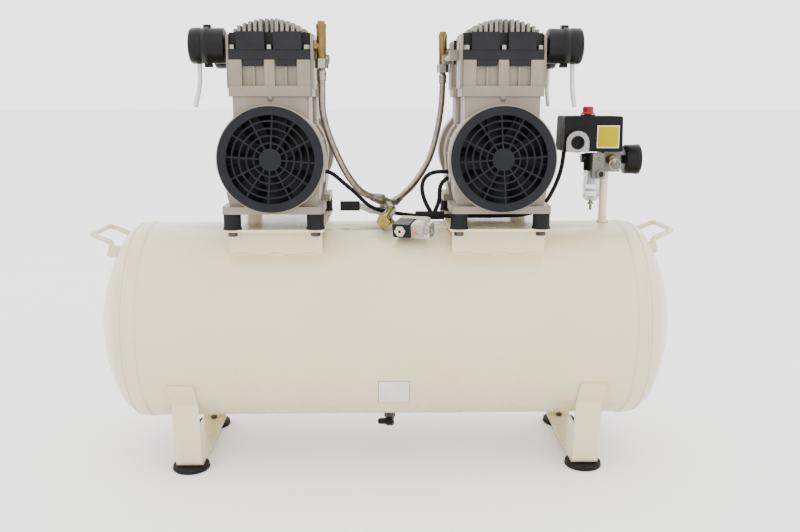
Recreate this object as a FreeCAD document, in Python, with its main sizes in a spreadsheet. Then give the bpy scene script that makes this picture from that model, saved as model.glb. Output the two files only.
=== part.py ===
"""Twin-pump portable air compressor: two oil-free pumps on a horizontal receiver tank.

Frame: millimetres, +X to the right, +Y to the back, +Z up.  The origin is on the floor, under the
middle of the tank.  The tank lies along X and both pump shafts lie along Y.
"""

import FreeCAD, Part
import math
import os

import Sketcher
from FreeCAD import Placement, Rotation, Vector

# Driving dimensions, kept in the document's spreadsheet.
DIMENSIONS = {
    # tank
    "tank_radius": 163.0,
    "tank_wall": 3.0,
    "tank_axis": 230.0,
    "shell_half": 384.0,
    "dome_start": 396.0,
    "dome_depth": 72.5,
    "knuckle_radius": 36.0,
    "band_height": 1.4,
    # legs and floor pads
    "leg_x": 322.5,
    "leg_width": 42.0,
    "strap_thick": 4.0,
    "leg_foot_half": 111.0,
    "pad_radius": 30.0,
    "pad_height": 8.0,
    "pad_y": 97.0,
    # carrying handles
    "grip_x": 476.0,
    "grip_half": 50.0,
    "rod_radius": 4.4,
    # motor brackets
    "bracket_top": 398.6,
    "bracket_half_x": 77.4,
    "bracket_half_y": 125.0,
    "flange_half_x": 72.6,
    "flange_y": 102.8,
    # pumps
    "pump_x": 174.0,
    "shaft_z": 506.0,
    "mount_x": 63.5,
    "mount_y": 116.0,
    "base_low": 423.0,
    "base_high": 434.5,
    "deck_z": 598.6,
    "head_low": 652.0,
    "head_high": 692.0,
    "fin_high": 712.0,
    "head_half": 60.4,
    "head_outer": 120.0,
    "head_inner": 45.0,
    "ring_radius": 81.0,
    "ring_face": 139.0,
    "shaft_radius": 7.95,
    "port_y": 98.0,
    "port_z": 673.0,
    # air lines and fittings
    "hose_radius": 5.5,
    "riser_x": 362.0,
    "riser_radius": 6.85,
}

doc = FreeCAD.newDocument("air_compressor")
sheet = doc.addObject("Spreadsheet::Sheet", "dims")
for row, (alias, number) in enumerate(DIMENSIONS.items(), 1):
    sheet.set(f"A{row}", alias)
    sheet.set(f"B{row}", str(number))
    sheet.setAlias(f"B{row}", alias)
doc.recompute()


class Size:
    """A length: the spreadsheet expression that gives it, and its present value."""

    def __init__(self, text, number):
        self.text = text
        self.number = number

    def __add__(self, other):
        other = as_size(other)
        return Size(f"({self.text} + {other.text})", self.number + other.number)

    def __sub__(self, other):
        other = as_size(other)
        return Size(f"({self.text} - {other.text})", self.number - other.number)

    def __mul__(self, factor):
        return Size(f"({self.text} * {factor})", self.number * factor)

    def __neg__(self):
        return Size(f"(-1 * {self.text})", -self.number)

    def __radd__(self, other):
        return as_size(other) + self

    def __rsub__(self, other):
        return as_size(other) - self


def as_size(value):
    return value if isinstance(value, Size) else Size(f"({float(value)})", float(value))


class Dimensions:
    """dim.NAME is the spreadsheet cell of that name, as a Size."""

    def __getattr__(self, alias):
        return Size(f"dims.{alias}", DIMENSIONS[alias])


dim = Dimensions()


def mm(value):
    """The present value of a Size or a plain number."""
    return as_size(value).number


# ---------------------------------------------------------------- document helpers

TURN = {"X": Rotation(Vector(0, 1, 0), 90), "Y": Rotation(Vector(1, 0, 0), -90), "Z": Rotation()}
HALF_TURN = Rotation(Vector(0, 0, 1), 180)
PARTS = []


def bind(item, prop, value):
    """Give an object's property a value, as an expression where it comes from the spreadsheet."""
    if isinstance(value, Size):
        item.setExpression(prop, value.text)
    elif prop.startswith("Placement.Base."):
        setattr(item.Placement.Base, prop[-1], value)
    else:
        setattr(item, prop, value)


def put(item, rotation, x, y, z):
    """Place an object, with each coordinate bound to the spreadsheet where it can be."""
    item.Placement = Placement(Vector(mm(x), mm(y), mm(z)), rotation)
    for axis, value in zip("xyz", (x, y, z)):
        if isinstance(value, Size):
            item.setExpression(f"Placement.Base.{axis}", value.text)
    return item


def box(name, x, y, z):
    """A block between two corners; x, y and z are (low, high) pairs."""
    item = doc.addObject("Part::Box", name)
    for prop, (low, high) in zip(("Length", "Width", "Height"), (x, y, z)):
        bind(item, prop, high - low)
    return put(item, Rotation(), x[0], y[0], z[0])


def along(axis, start, at):
    """The place of a round piece that starts at start on its axis; at is its other two coordinates."""
    if axis == "X":
        return start, at[0], at[1]
    if axis == "Y":
        return at[0], start, at[1]
    return at[0], at[1], start


def cylinder(name, axis, radius, span, at):
    item = doc.addObject("Part::Cylinder", name)
    bind(item, "Radius", radius)
    bind(item, "Height", span[1] - span[0])
    return put(item, TURN[axis], *along(axis, span[0], at))


def cone(name, axis, radii, span, at):
    item = doc.addObject("Part::Cone", name)
    bind(item, "Radius1", radii[0])
    bind(item, "Radius2", radii[1])
    bind(item, "Height", span[1] - span[0])
    return put(item, TURN[axis], *along(axis, span[0], at))


def hexagon(name, axis, across, span, at):
    """A hexagonal prism, sized across its flats."""
    item = doc.addObject("Part::Prism", name)
    item.Polygon = 6
    bind(item, "Circumradius", across / math.sqrt(3) if not isinstance(across, Size) else across * 0.57735)
    bind(item, "Height", span[1] - span[0])
    return put(item, TURN[axis], *along(axis, span[0], at))


def fuse(name, *shapes):
    item = doc.addObject("Part::MultiFuse", name)
    item.Shapes = list(shapes)
    item.Refine = True
    return item


def cut(name, base, *tools):
    item = doc.addObject("Part::Cut", name)
    item.Base = base
    item.Tool = tools[0] if len(tools) == 1 else fuse(f"{name}_tools", *tools)
    item.Refine = True
    return item


def common(name, first, second):
    item = doc.addObject("Part::MultiCommon", name)
    item.Shapes = [first, second]
    return item


def group(name, *shapes):
    """One sub-part of several separate pieces."""
    item = doc.addObject("Part::Compound", name)
    item.Links = list(shapes)
    return item


def mirrored(name, source, normal=Vector(0, 1, 0)):
    item = doc.addObject("Part::Mirroring", name)
    item.Source = source
    item.Normal = normal
    return item


def rounded(name, base, radius, wanted):
    """Round the edges of base that wanted(edge) picks."""
    doc.recompute()
    edges = [(i, radius, radius) for i, edge in enumerate(base.Shape.Edges, 1) if wanted(edge)]
    item = doc.addObject("Part::Fillet", name)
    item.Base = base
    item.Edges = edges
    return item


def runs_along(direction):
    """A test for straight edges that run along one axis."""

    def test(edge):
        if not isinstance(edge.Curve, Part.Line):
            return False
        return abs(edge.tangentAt(edge.FirstParameter).dot(direction)) > 0.999

    return test


UPRIGHT = runs_along(Vector(0, 0, 1))
LENGTHWISE = runs_along(Vector(1, 0, 0))
DEEPWISE = runs_along(Vector(0, 1, 0))


def round_edge(edge):
    return isinstance(edge.Curve, Part.Circle) and edge.isClosed()


def plane_of(body, role):
    return next(feature for feature in body.Origin.OriginFeatures if feature.Role == role)


def new_sketch(body, name, role):
    sketch = body.newObject("Sketcher::SketchObject", name)
    sketch.AttachmentSupport = [(plane_of(body, role), "")]
    sketch.MapMode = "FlatFace"
    return sketch


def draw_outline(sketch, points):
    """A closed outline of straight lines whose corners are bound to the spreadsheet."""
    first = len(sketch.Geometry)
    count = len(points)
    for index, (across, up) in enumerate(points):
        onward, higher = points[(index + 1) % count]
        line = Part.LineSegment(Vector(mm(across), mm(up), 0), Vector(mm(onward), mm(higher), 0))
        sketch.addGeometry(line, False)
    for index in range(count):
        after = first + (index + 1) % count
        sketch.addConstraint(Sketcher.Constraint("Coincident", first + index, 2, after, 1))
    for index, corner in enumerate(points):
        for kind, value in zip(("DistanceX", "DistanceY"), corner):
            made = sketch.addConstraint(Sketcher.Constraint(kind, first + index, 1, mm(value)))
            if isinstance(value, Size):
                sketch.setExpression(f"Constraints[{made}]", value.text)


def draw_circle(sketch, radius, centre=(0, 0)):
    made = sketch.addGeometry(Part.Circle(Vector(mm(centre[0]), mm(centre[1]), 0), Vector(0, 0, 1),
                                          mm(radius)), False)
    sketch.addConstraint(Sketcher.Constraint("DistanceX", made, 3, mm(centre[0])))
    sketch.addConstraint(Sketcher.Constraint("DistanceY", made, 3, mm(centre[1])))
    held = sketch.addConstraint(Sketcher.Constraint("Radius", made, mm(radius)))
    if isinstance(radius, Size):
        sketch.setExpression(f"Constraints[{held}]", radius.text)


def pad(body, name, sketch, length, both_ways=False):
    item = body.newObject("PartDesign::Pad", name)
    item.Profile = sketch
    if both_ways:
        item.SideType = "Symmetric"
    bind(item, "Length", length)
    return item


def turned(name, outline, axis="Z", at=(0, 0, 0)):
    """A piece turned about its own axis; outline is (radius, height) corners along that axis."""
    body = doc.addObject("PartDesign::Body", name)
    sketch = new_sketch(body, f"{name}_outline", "XZ_Plane")
    draw_outline(sketch, outline)
    item = body.newObject("PartDesign::Revolution", f"{name}_turning")
    item.Profile = sketch
    item.ReferenceAxis = (sketch, ["V_Axis"])
    item.Angle = 360
    return put(body, TURN[axis], *at)


def extruded(name, role, outline, length, at=(0, 0, 0)):
    """A body of one outline, padded evenly to both sides of its plane."""
    body = doc.addObject("PartDesign::Body", name)
    sketch = new_sketch(body, f"{name}_outline", role)
    draw_outline(sketch, outline)
    pad(body, f"{name}_pad", sketch, length, both_ways=True)
    return put(body, Rotation(), *at)


def shaped(name, shape):
    """A sub-part whose shape is set directly, for bent rods, hoses and cables."""
    item = doc.addObject("Part::Feature", name)
    item.Shape = shape
    return item


def part(item, label):
    """Name a finished sub-part and keep it for export."""
    item.Label = label
    PARTS.append(item)
    return item


# ---------------------------------------------------------------- bent rods, hoses and cables


def bent_path(route, arc_share=0.45, radius=None):
    """Straight runs joined by tangent arcs, with the radius of each arc.

    Each arc is as large as its two runs allow, unless radius says otherwise.
    """
    points = [Vector(*point) for point in route]
    edges = []
    radii = []
    start = points[0]
    for before, corner, after in zip(points, points[1:], points[2:]):
        inward = (before - corner).normalize()
        onward = (after - corner).normalize()
        half_turn = (math.pi - inward.getAngle(onward)) / 2
        shorter = min((before - corner).Length, (after - corner).Length)
        bend = radius if radius else arc_share * shorter / math.tan(half_turn)
        reach = bend * math.tan(half_turn)
        entry = corner + inward * reach
        leave = corner + onward * reach
        middle = (inward + onward).normalize()
        top = corner + middle * (bend / math.cos(half_turn) - bend)
        edges.append(Part.LineSegment(start, entry).toShape())
        edges.append(Part.Arc(entry, top, leave).toShape())
        radii.append(bend)
        start = leave
    edges.append(Part.LineSegment(start, points[-1]).toShape())
    return Part.Wire(edges), radii


def swept(path, radius, start, towards):
    ring = Part.Wire([Part.Circle(start, towards, radius).toShape()])
    return path.makePipeShell([ring], True, True)


def tube(name, route, radius):
    """A hose or cable along its route; it prints its length and tightest bend."""
    path, radii = bent_path(route)
    start = Vector(*route[0])
    solid = swept(path, radius, start, Vector(*route[1]) - start)
    expected = math.pi * radius**2 * path.Length
    share = solid.Volume / expected
    print(f"{name}: length {path.Length:.1f}, diameter {2 * radius:.1f}, volume share {share:.4f}, radii",
          [round(bend, 1) for bend in radii])
    if abs(share - 1) > 0.01:
        raise ValueError(f"{name} is not a clean tube")
    return shaped(name, solid)


def rod(name, route, radius, bend):
    path, _ = bent_path(route, radius=bend)
    start = Vector(*route[0])
    return shaped(name, swept(path, radius, start, Vector(*route[1]) - start))


# ---------------------------------------------------------------- tank, legs, handles and brackets


INLET_AT = (3, -35)
OUTLET_AT = (-2, 45)
DRAIN_AT = (4, 0)


def tank_shell():
    inner = dim.tank_radius - dim.tank_wall
    shell = turned(
        "shell_tube",
        [(inner, -dim.shell_half), (dim.tank_radius, -dim.shell_half), (dim.tank_radius, dim.shell_half),
         (inner, dim.shell_half)],
        "X", (0, 0, dim.tank_axis),
    )
    holes = [cylinder(f"shell_hole_{index}", "Z", radius, (dim.tank_axis, dim.tank_axis + 170), at)
             for index, (radius, at) in enumerate([(6.9, (dim.riser_x, 0)), (6.6, INLET_AT),
                                                   (8.6, OUTLET_AT)])]
    drain = cylinder("shell_hole_drain", "Z", 6.6, (dim.tank_axis - 170, dim.tank_axis), DRAIN_AT)
    return part(cut("shell_cut", shell, *holes, drain), "tank_shell")


def dish_arcs(sketch, thinner):
    """The knuckle and crown of a dished end, drawn as tangent arcs; thinner is the offset inwards."""
    knuckle = mm(dim.knuckle_radius)
    edge, start, depth = mm(dim.tank_radius) - knuckle, mm(dim.dome_start), mm(dim.dome_depth)
    crown = (edge**2 + depth**2 - knuckle**2) / (2 * (depth - knuckle))
    low = start + depth - crown
    turn = math.atan2(start - low, edge)
    meet = math.pi / 2 - turn
    across = Vector(0, 0, 1)
    sketch.addGeometry(Part.ArcOfCircle(Part.Circle(Vector(edge, start, 0), across, knuckle - thinner), 0,
                                        turn), False)
    outer = Part.Circle(Vector(0, low, 0), across, crown - thinner)
    sketch.addGeometry(Part.ArcOfCircle(outer, math.pi / 2 - meet, math.pi / 2), False)


def tank_head():
    """A dished end with a raised weld band where it laps the shell, turned about the tank's axis."""
    body = doc.addObject("PartDesign::Body", "dished_end")
    sketch = new_sketch(body, "dished_end_outline", "XZ_Plane")
    outer, wall, depth = mm(dim.tank_radius), mm(dim.tank_wall), mm(dim.dome_depth)
    seam, start = mm(dim.shell_half), mm(dim.dome_start)
    crown = outer + mm(dim.band_height)
    corners = [(outer - wall, start), (outer - wall, seam), (outer + 0.3, seam), (crown, seam + 2),
               (crown, start - 2), (outer, start)]
    for low, high in zip(corners, corners[1:]):
        sketch.addGeometry(Part.LineSegment(Vector(*low, 0), Vector(*high, 0)), False)
    dish_arcs(sketch, 0)
    dish_arcs(sketch, wall)
    pole = Part.LineSegment(Vector(0, start + depth - wall, 0), Vector(0, start + depth, 0))
    sketch.addGeometry(pole, False)
    item = body.newObject("PartDesign::Revolution", "dished_end_turning")
    item.Profile = sketch
    item.ReferenceAxis = (sketch, ["V_Axis"])
    item.Angle = 360
    return put(body, TURN["X"], 0, 0, dim.tank_axis)


def dish_solid():
    """The space inside a dished end's outer face, used to trim what is welded on it."""
    body = doc.addObject("PartDesign::Body", "dish_space")
    sketch = new_sketch(body, "dish_space_outline", "XZ_Plane")
    outer, start, depth = mm(dim.tank_radius), mm(dim.dome_start), mm(dim.dome_depth)
    corners = [(0, start + depth), (0, start - 8), (outer, start - 8), (outer, start)]
    for low, high in zip(corners, corners[1:]):
        sketch.addGeometry(Part.LineSegment(Vector(*low, 0), Vector(*high, 0)), False)
    dish_arcs(sketch, 0)
    item = body.newObject("PartDesign::Revolution", "dish_space_turning")
    item.Profile = sketch
    item.ReferenceAxis = (sketch, ["V_Axis"])
    item.Angle = 360
    return put(body, TURN["X"], 0, 0, dim.tank_axis)


def tank_heads():
    right = tank_head()
    left = mirrored("dished_end_left", right, Vector(1, 0, 0))
    return part(group("dished_ends", right, left), "tank_heads")


def tank_ports():
    """Welded ports: the outlet, the inlet and the switch's riser pipe on top, and the drain below."""
    outer = cylinder("port_trim", "X", dim.tank_radius + 0.02, (-400, 400), (0, dim.tank_axis))
    top = dim.tank_axis + dim.tank_radius
    inlet = cylinder("port_inlet", "Z", 11, (top - 10, top + 3), INLET_AT)
    outlet = cylinder("port_outlet", "Z", 13, (top - 14, top + 1), OUTLET_AT)
    drain = cylinder("port_drain", "Z", 13, (dim.tank_axis - dim.tank_radius - 6, dim.tank_axis - 155),
                     DRAIN_AT)
    holes = [cylinder("port_inlet_hole", "Z", 6.6, (top - 20, top + 4), INLET_AT),
             cylinder("port_outlet_hole", "Z", 8.55, (top - 30, top + 2), OUTLET_AT),
             cylinder("port_drain_hole", "Z", 6.6, (60, 80), DRAIN_AT)]
    sockets = cut("port_sockets", fuse("port_bodies", inlet, outlet, drain), outer, *holes)
    at = (dim.riser_x, 0)
    weld = cut("riser_weld", cone("riser_weld_cone", "Z", (11, 7.6), (top - 1, top + 3.4), at), outer)
    pipe = fuse("riser_and_weld", cylinder("riser_tube", "Z", dim.riser_radius, (top - 5, 482), at), weld)
    riser = cut("riser", pipe, cylinder("riser_way", "Z", 4.6, (top - 6, 483), at))
    return part(group("ports", sockets, riser), "tank_ports")


LEG_TOP_ANGLE = math.radians(64)
LEG_BEND_ANGLE = math.radians(48)


def leg(name, x):
    """A flat strap bent into a U under the tank; its tops follow the tank and are welded to it."""
    axis_z = mm(dim.tank_axis)
    inner = mm(dim.tank_radius)
    outer = inner + mm(dim.strap_thick)
    foot = mm(dim.leg_foot_half)
    low = mm(dim.pad_height)
    high = low + mm(dim.strap_thick)

    def on_tank(angle, radius):
        return Vector(radius * math.sin(angle), axis_z - radius * math.cos(angle), 0)

    def flip(point):
        return Vector(-point.x, point.y, 0)

    middle_angle = (LEG_TOP_ANGLE + LEG_BEND_ANGLE) / 2
    inside = [on_tank(LEG_TOP_ANGLE, inner), on_tank(middle_angle, inner), on_tank(LEG_BEND_ANGLE, inner)]
    outside = [on_tank(LEG_TOP_ANGLE, outer), on_tank(middle_angle, outer), on_tank(LEG_BEND_ANGLE, outer)]
    inside_foot = Vector(foot - mm(dim.strap_thick), high, 0)
    outside_foot = Vector(foot, low, 0)

    body = doc.addObject("PartDesign::Body", name)
    sketch = new_sketch(body, f"{name}_outline", "YZ_Plane")
    for side in (lambda point: point, flip):
        sketch.addGeometry(Part.Arc(side(inside[0]), side(inside[1]), side(inside[2])), False)
        sketch.addGeometry(Part.Arc(side(outside[0]), side(outside[1]), side(outside[2])), False)
        sketch.addGeometry(Part.LineSegment(side(inside[0]), side(outside[0])), False)
        sketch.addGeometry(Part.LineSegment(side(inside[2]), side(inside_foot)), False)
        sketch.addGeometry(Part.LineSegment(side(outside[2]), side(outside_foot)), False)
    sketch.addGeometry(Part.LineSegment(inside_foot, flip(inside_foot)), False)
    sketch.addGeometry(Part.LineSegment(outside_foot, flip(outside_foot)), False)
    strap = pad(body, f"{name}_strap", sketch, dim.leg_width, both_ways=True)
    doc.recompute()

    def corner_edges(corner):
        return [f"Edge{index}" for index, edge in enumerate(strap.Shape.Edges, 1)
                if LENGTHWISE(edge) and abs(abs(edge.CenterOfMass.y) - corner.x) < 0.5
                and abs(edge.CenterOfMass.z - corner.y) < 0.5]

    bend = body.newObject("PartDesign::Fillet", f"{name}_outer_bend")
    bend.Base = (strap, corner_edges(outside_foot))
    bend.Radius = 8
    doc.recompute()
    inner_edges = [f"Edge{index}" for index, edge in enumerate(bend.Shape.Edges, 1)
                   if LENGTHWISE(edge) and abs(abs(edge.CenterOfMass.y) - inside_foot.x) < 0.5
                   and abs(edge.CenterOfMass.z - inside_foot.y) < 0.5]
    tight = body.newObject("PartDesign::Fillet", f"{name}_inner_bend")
    tight.Base = (bend, inner_edges)
    tight.Radius = 4
    doc.recompute()
    holes = new_sketch(body, f"{name}_holes", "XY_Plane")
    draw_circle(holes, 3.2, (0, mm(dim.pad_y)))
    draw_circle(holes, 3.2, (0, -mm(dim.pad_y)))
    pocket = body.newObject("PartDesign::Pocket", f"{name}_drilling")
    pocket.Profile = holes
    pocket.SideType = "Symmetric"
    pocket.Length = 2 * high + 4
    return put(body, Rotation(), x, 0, 0)


def tank_legs():
    return part(group("legs", leg("leg_left", -dim.leg_x), leg("leg_right", dim.leg_x)), "tank_legs")


def foot_pads():
    pads = []
    for side in (-1, 1):
        for end in (-1, 1):
            name = f"pad_{side}_{end}".replace("-1", "low").replace("1", "high")
            at = (dim.leg_x * side, dim.pad_y * end, 0)
            pads.append(turned(name, [(3.2, 4.5), (9, 4.5), (9, 0), (dim.pad_radius - 2, 0),
                                      (dim.pad_radius, 2),
                                      (dim.pad_radius - 1, dim.pad_height), (3.2,
                                                                             dim.pad_height)], "Z", at))
    return part(group("pads", *pads), "foot_pads")


def handle(name, out, up):
    """A bent round rod on two lugs on the right dished end; out and up move it from its usual place."""
    rise = mm(dim.tank_axis) + up
    grip, half, radius = mm(dim.grip_x) + out, mm(dim.grip_half), mm(dim.rod_radius)
    foot, knee = grip - 26, grip - 34
    route = [(foot, -half, rise + 116), (knee, -half, rise + 137), (grip, -half, rise + 151),
             (grip, half, rise + 151), (knee, half, rise + 137), (foot, half, rise + 116)]
    bar = rod(f"{name}_rod", route, radius, 8.5)
    lugs = [box(f"{name}_lug_{side}", (grip - 52, grip - 28), (side * half - 5, side * half + 5),
                (rise + 114, rise + 132))
            for side in (-1, 1)]
    return cut(name, fuse(f"{name}_pieces", bar, *lugs), dish_solid())


def carry_handles():
    """The two handles; the right one was welded a little nearer to the tank's middle."""
    left = mirrored("handle_left", handle("handle_left_source", 0, 0), Vector(1, 0, 0))
    return part(group("handles", handle("handle_right", -10, 4), left), "carry_handles")


def motor_brackets():
    """A folded plate under each pump, welded along the tank."""
    low = dim.bracket_top - dim.strap_thick
    tank = cylinder("bracket_trim", "X", dim.tank_radius + 0.02, (-400, 400), (0, dim.tank_axis))
    brackets = []
    for name, side in (("left", -1), ("right", 1)):
        centre = dim.pump_x * side
        wide = (centre - dim.bracket_half_x, centre + dim.bracket_half_x)
        narrow = (centre - dim.flange_half_x, centre + dim.flange_half_x)
        plate = rounded(f"bracket_{name}_plate",
                        box(f"bracket_{name}_sheet", wide, (-dim.bracket_half_y, dim.bracket_half_y),
                            (low, dim.bracket_top)),
                        6, UPRIGHT)
        front = box(f"bracket_{name}_front", narrow, (-dim.flange_y, 4 - dim.flange_y),
                    (dim.tank_axis + 100, low + 1))
        back = box(f"bracket_{name}_back", narrow, (dim.flange_y - 4, dim.flange_y),
                   (dim.tank_axis + 100, low + 1))
        holes = [cylinder(f"bracket_{name}_hole_{x}_{y}".replace("-", "n"), "Z", 4.5,
                          (low - 1, dim.bracket_top + 1),
                          (centre + dim.mount_x * x, dim.mount_y * y)) for x in (-1, 1) for y in (-1, 1)]
        brackets.append(cut(f"bracket_{name}", fuse(f"bracket_{name}_body", plate, front, back), tank,
                            *holes))
    return part(group("brackets", *brackets), "motor_brackets")


# ---------------------------------------------------------------- pumps

SIDES = (("left", -1), ("right", 1))


def on_pump(item, side):
    """Place a piece made about a pump's own middle; the right pump is the left one turned half round."""
    return put(item, HALF_TURN if side > 0 else Rotation(), dim.pump_x * side, 0, 0)


def wheel(name, radius, span):
    """A disc or bore about the shaft's line."""
    return cylinder(name, "Y", radius, span, (0, dim.shaft_z))


def crankcase(name):
    """The front casting: fan ring, crank chamber, tower for the cylinder, and the foot plate."""
    face, back = -dim.ring_face, -dim.head_inner
    ring = rounded(f"{name}_ring", wheel(f"{name}_drum", dim.ring_radius, (face, -95)), 1.6, round_edge)
    chamber = wheel(f"{name}_chamber", 74, (-96, back))
    tower = rounded(f"{name}_tower", box(f"{name}_block", (-57, 57), (-118, back),
                                         (dim.shaft_z, dim.deck_z)), 4, UPRIGHT)
    low, high = dim.base_low, dim.base_high
    skirt = extruded(f"{name}_skirt", "XZ_Plane",
                     [(-66, high - 1), (66, high - 1), (70, high + 17), (73, dim.shaft_z),
                      (-73, dim.shaft_z),
                      (-70, high + 17)], 73, (0, -81.5, 0))
    plate = rounded(f"{name}_plate", box(f"{name}_base", (-76.6, 76.6), (-131, back), (low, high)), 7,
                    UPRIGHT)
    nub = turned(f"{name}_nub", [(0, -7), (2.6, -7), (4.6, -3), (4.6, 0), (0, 0)], "Z",
                 (0, -118, dim.deck_z))
    solid = fuse(f"{name}_body", ring, chamber, tower, skirt, plate, nub)
    hollows = [wheel(f"{name}_fan_pocket", 76, (face - 1, -101)),
               wheel(f"{name}_crank_room", 50, (-95, -52)),
               wheel(f"{name}_bearing_seats", 16, (-102, back + 1)),
               cylinder(f"{name}_bore", "Z", 30, (dim.shaft_z, dim.deck_z + 1), (0, -82.5))]
    hollows += [cylinder(f"{name}_foot_hole_{index}", "Z", 4.3, (low - 1, low + 10),
                         (dim.mount_x * index, -dim.mount_y))
                for index in (-1, 1)]
    return cut(name, solid, *hollows)


def stator():
    """The motor's shell with its core, between the two crankcases."""
    reach = dim.head_inner
    shell = wheel("stator_shell", 70, (-reach, reach))
    ribs = []
    for index in range(18):
        angle = index * 20
        rib = doc.addObject("Part::Box", f"stator_rib_{index}")
        rib.Length, rib.Width, rib.Height = 4.5, 80, 3
        spin = Rotation(Vector(0, 1, 0), angle)
        rib.Placement = Placement(Vector(0, 0, mm(dim.shaft_z)) + spin.multVec(Vector(68, -40, -1.5)), spin)
        ribs.append(rib)
    shell = cut("stator_case", fuse("stator_ribbed", shell, *ribs),
                wheel("stator_room", 62, (-reach - 1, reach + 1)))
    boss = rounded("stator_boss", box("stator_terminals", (60, 70.5), (-28, 28), (460, 488)), 3, LENGTHWISE)
    shell = fuse("stator_wired", shell, boss)
    core = cut("stator_core", wheel("stator_stack", 62.5, (-32, 32)), wheel("stator_bore", 42, (-33, 33)))
    return fuse("stator", shell, core)


def rotor():
    shaft = wheel("rotor_shaft", dim.shaft_radius, (-133, 133))
    core = rounded("rotor_core", wheel("rotor_stack", 41.5, (-32, 32)), 1, round_edge)
    return fuse("rotor", shaft, core)


FAN_BLADES = 9
BLADE_TILT = 35


def fan(name):
    """A fan with broad blades on the front end of the shaft."""
    hub = cylinder(f"{name}_hub", "Y", 15, (-132, -108), (0, dim.shaft_z))
    blades = []
    for index in range(FAN_BLADES):
        blade = doc.addObject("Part::Box", f"{name}_blade_{index}")
        blade.Length, blade.Width, blade.Height = 60, 38, 2
        spin = Rotation(Vector(0, 1, 0), index * 360 / FAN_BLADES)
        tilt = spin.multiply(Rotation(Vector(1, 0, 0), 90 - BLADE_TILT))
        centre = Vector(0, -120, mm(dim.shaft_z))
        blade.Placement = Placement(centre + tilt.multVec(Vector(12, -19, -1)), tilt)
        blades.append(blade)
    swept_disc = wheel(f"{name}_disc", 72, (-131.5, -108.5))
    solid = fuse(f"{name}_body", hub, common(f"{name}_blades", fuse(f"{name}_slabs", *blades), swept_disc))
    return cut(name, solid, wheel(f"{name}_bore", dim.shaft_radius, (-140, -100)))


GUARD_RINGS = (24.8, 35.6, 46.4, 57.2)
GUARD_BAR = 2.3


def fan_guard(name, x, rotation, y):
    """A round grille: rim, four thin rings, hub disc and twelve spokes."""
    body = doc.addObject("PartDesign::Body", name)
    rim = new_sketch(body, f"{name}_rim", "XZ_Plane")
    draw_circle(rim, 78.8)
    draw_circle(rim, 65.8)
    pad(body, f"{name}_rim_pad", rim, 3.4)
    rings = new_sketch(body, f"{name}_rings", "XZ_Plane")
    for radius in GUARD_RINGS:
        draw_circle(rings, radius + GUARD_BAR / 2)
        draw_circle(rings, radius - GUARD_BAR / 2)
    draw_circle(rings, 16.8)
    pad(body, f"{name}_rings_pad", rings, 2.6)
    spoke = new_sketch(body, f"{name}_spoke", "XZ_Plane")
    half = GUARD_BAR / 2
    draw_outline(spoke, [(-half, 15), (half, 15), (half, 67), (-half, 67)])
    bar = pad(body, f"{name}_spoke_pad", spoke, 2.6)
    pattern = body.newObject("PartDesign::PolarPattern", f"{name}_spokes")
    pattern.Originals = [bar]
    pattern.Axis = (rim, ["N_Axis"])
    pattern.Angle = 360
    pattern.Occurrences = 12
    body.Tip = pattern
    return put(body, rotation, x, y, dim.shaft_z)


def fan_guards():
    guards = []
    for name, side in SIDES:
        turn = Rotation(Vector(0, 1, 0), -4 * side)
        guards.append(fan_guard(f"guard_{name}_front", dim.pump_x * side, turn, -dim.ring_face))
        guards.append(fan_guard(f"guard_{name}_rear", dim.pump_x * side, HALF_TURN.multiply(turn),
                                dim.ring_face))
    return part(group("guards", *guards), "fan_guards")


BOLT_X = 54.6
BOLT_Y = (-114.0, -51.0)


def cylinder_block(name):
    """The front cylinder casting, with corner pillars, and cheeks that stand up beside the head."""
    outer, inner = -dim.head_outer, -dim.head_inner
    low, high = dim.deck_z, dim.head_low
    flange = rounded(f"{name}_flange", box(f"{name}_lip", (-62, 62), (outer - 2, inner + 2),
                                           (low, low + 15.4)), 5, UPRIGHT)
    barrel = box(f"{name}_barrel", (-60, 60), (outer, inner), (low + 10, high))
    pockets = [box(f"{name}_pocket_{side}_{end}", x,
                   (outer - 1, outer + 8) if end < 0 else (inner - 6, inner + 1),
                   (low + 15.4, high + 1))
               for end in (-1, 1) for side, x in ((-1, (-41, -7.5)), (1, (7.5, 41)))]
    windows = [box(f"{name}_window_{side}", x, (outer + 22, inner - 22), (low + 15.4, high - 6))
               for side, x in ((-1, (-61, -53)), (1, (53, 61)))]
    ribs = [box(f"{name}_rib_{side}", (side * 24 - 1.5, side * 24 + 1.5), (outer + 3, outer + 9),
                (low + 15, high - 9.5))
            for side in (-1, 1)]
    cheeks = [rounded(f"{name}_cheek_{side}", box(f"{name}_plate_{side}", x, (outer + 6, inner - 6),
                                                  (low + 12, high + 38)),
                      6, cheek_top_edge)
              for side, x in ((-1, (-64.5, -60.5)), (1, (60.5, 64.5)))]
    braces = [box(f"{name}_brace_{side}", x, (outer + 6, inner - 6), (low + 12, low + 50))
              for side, x in ((-1, (-61.5, -59)), (1, (59, 61.5)))]
    solid = fuse(f"{name}_body", cut(f"{name}_milled", barrel, *pockets, *windows), flange, *ribs,
                 *cheeks, *braces)
    holes = [cylinder(f"{name}_bore", "Z", 27, (low - 1, high + 1), (0, -82.5)),
             cylinder(f"{name}_ports", "X", 13, (-70, -50), (-dim.port_y, dim.port_z)),
             cylinder(f"{name}_outlet", "X", 8, (50, 70), (-dim.port_y, dim.port_z))]
    holes += [cylinder(f"{name}_bolt_{index}", "Z", 3.1, (high - 14, high + 1), at) for index,
              at in enumerate(bolt_places())]
    return cut(name, solid, *holes)


def cheek_top_edge(edge):
    """Edges along X at the top of a cheek."""
    return LENGTHWISE(edge) and edge.CenterOfMass.z > mm(dim.head_low)


def bolt_places():
    return [(x, y) for y in BOLT_Y for x in (-BOLT_X, 0, BOLT_X)]


FIN_COUNT = 14
FIN_PITCH = 7.9
FIN_THICK = 4.6
FIN_DROP = 15.0


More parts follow.
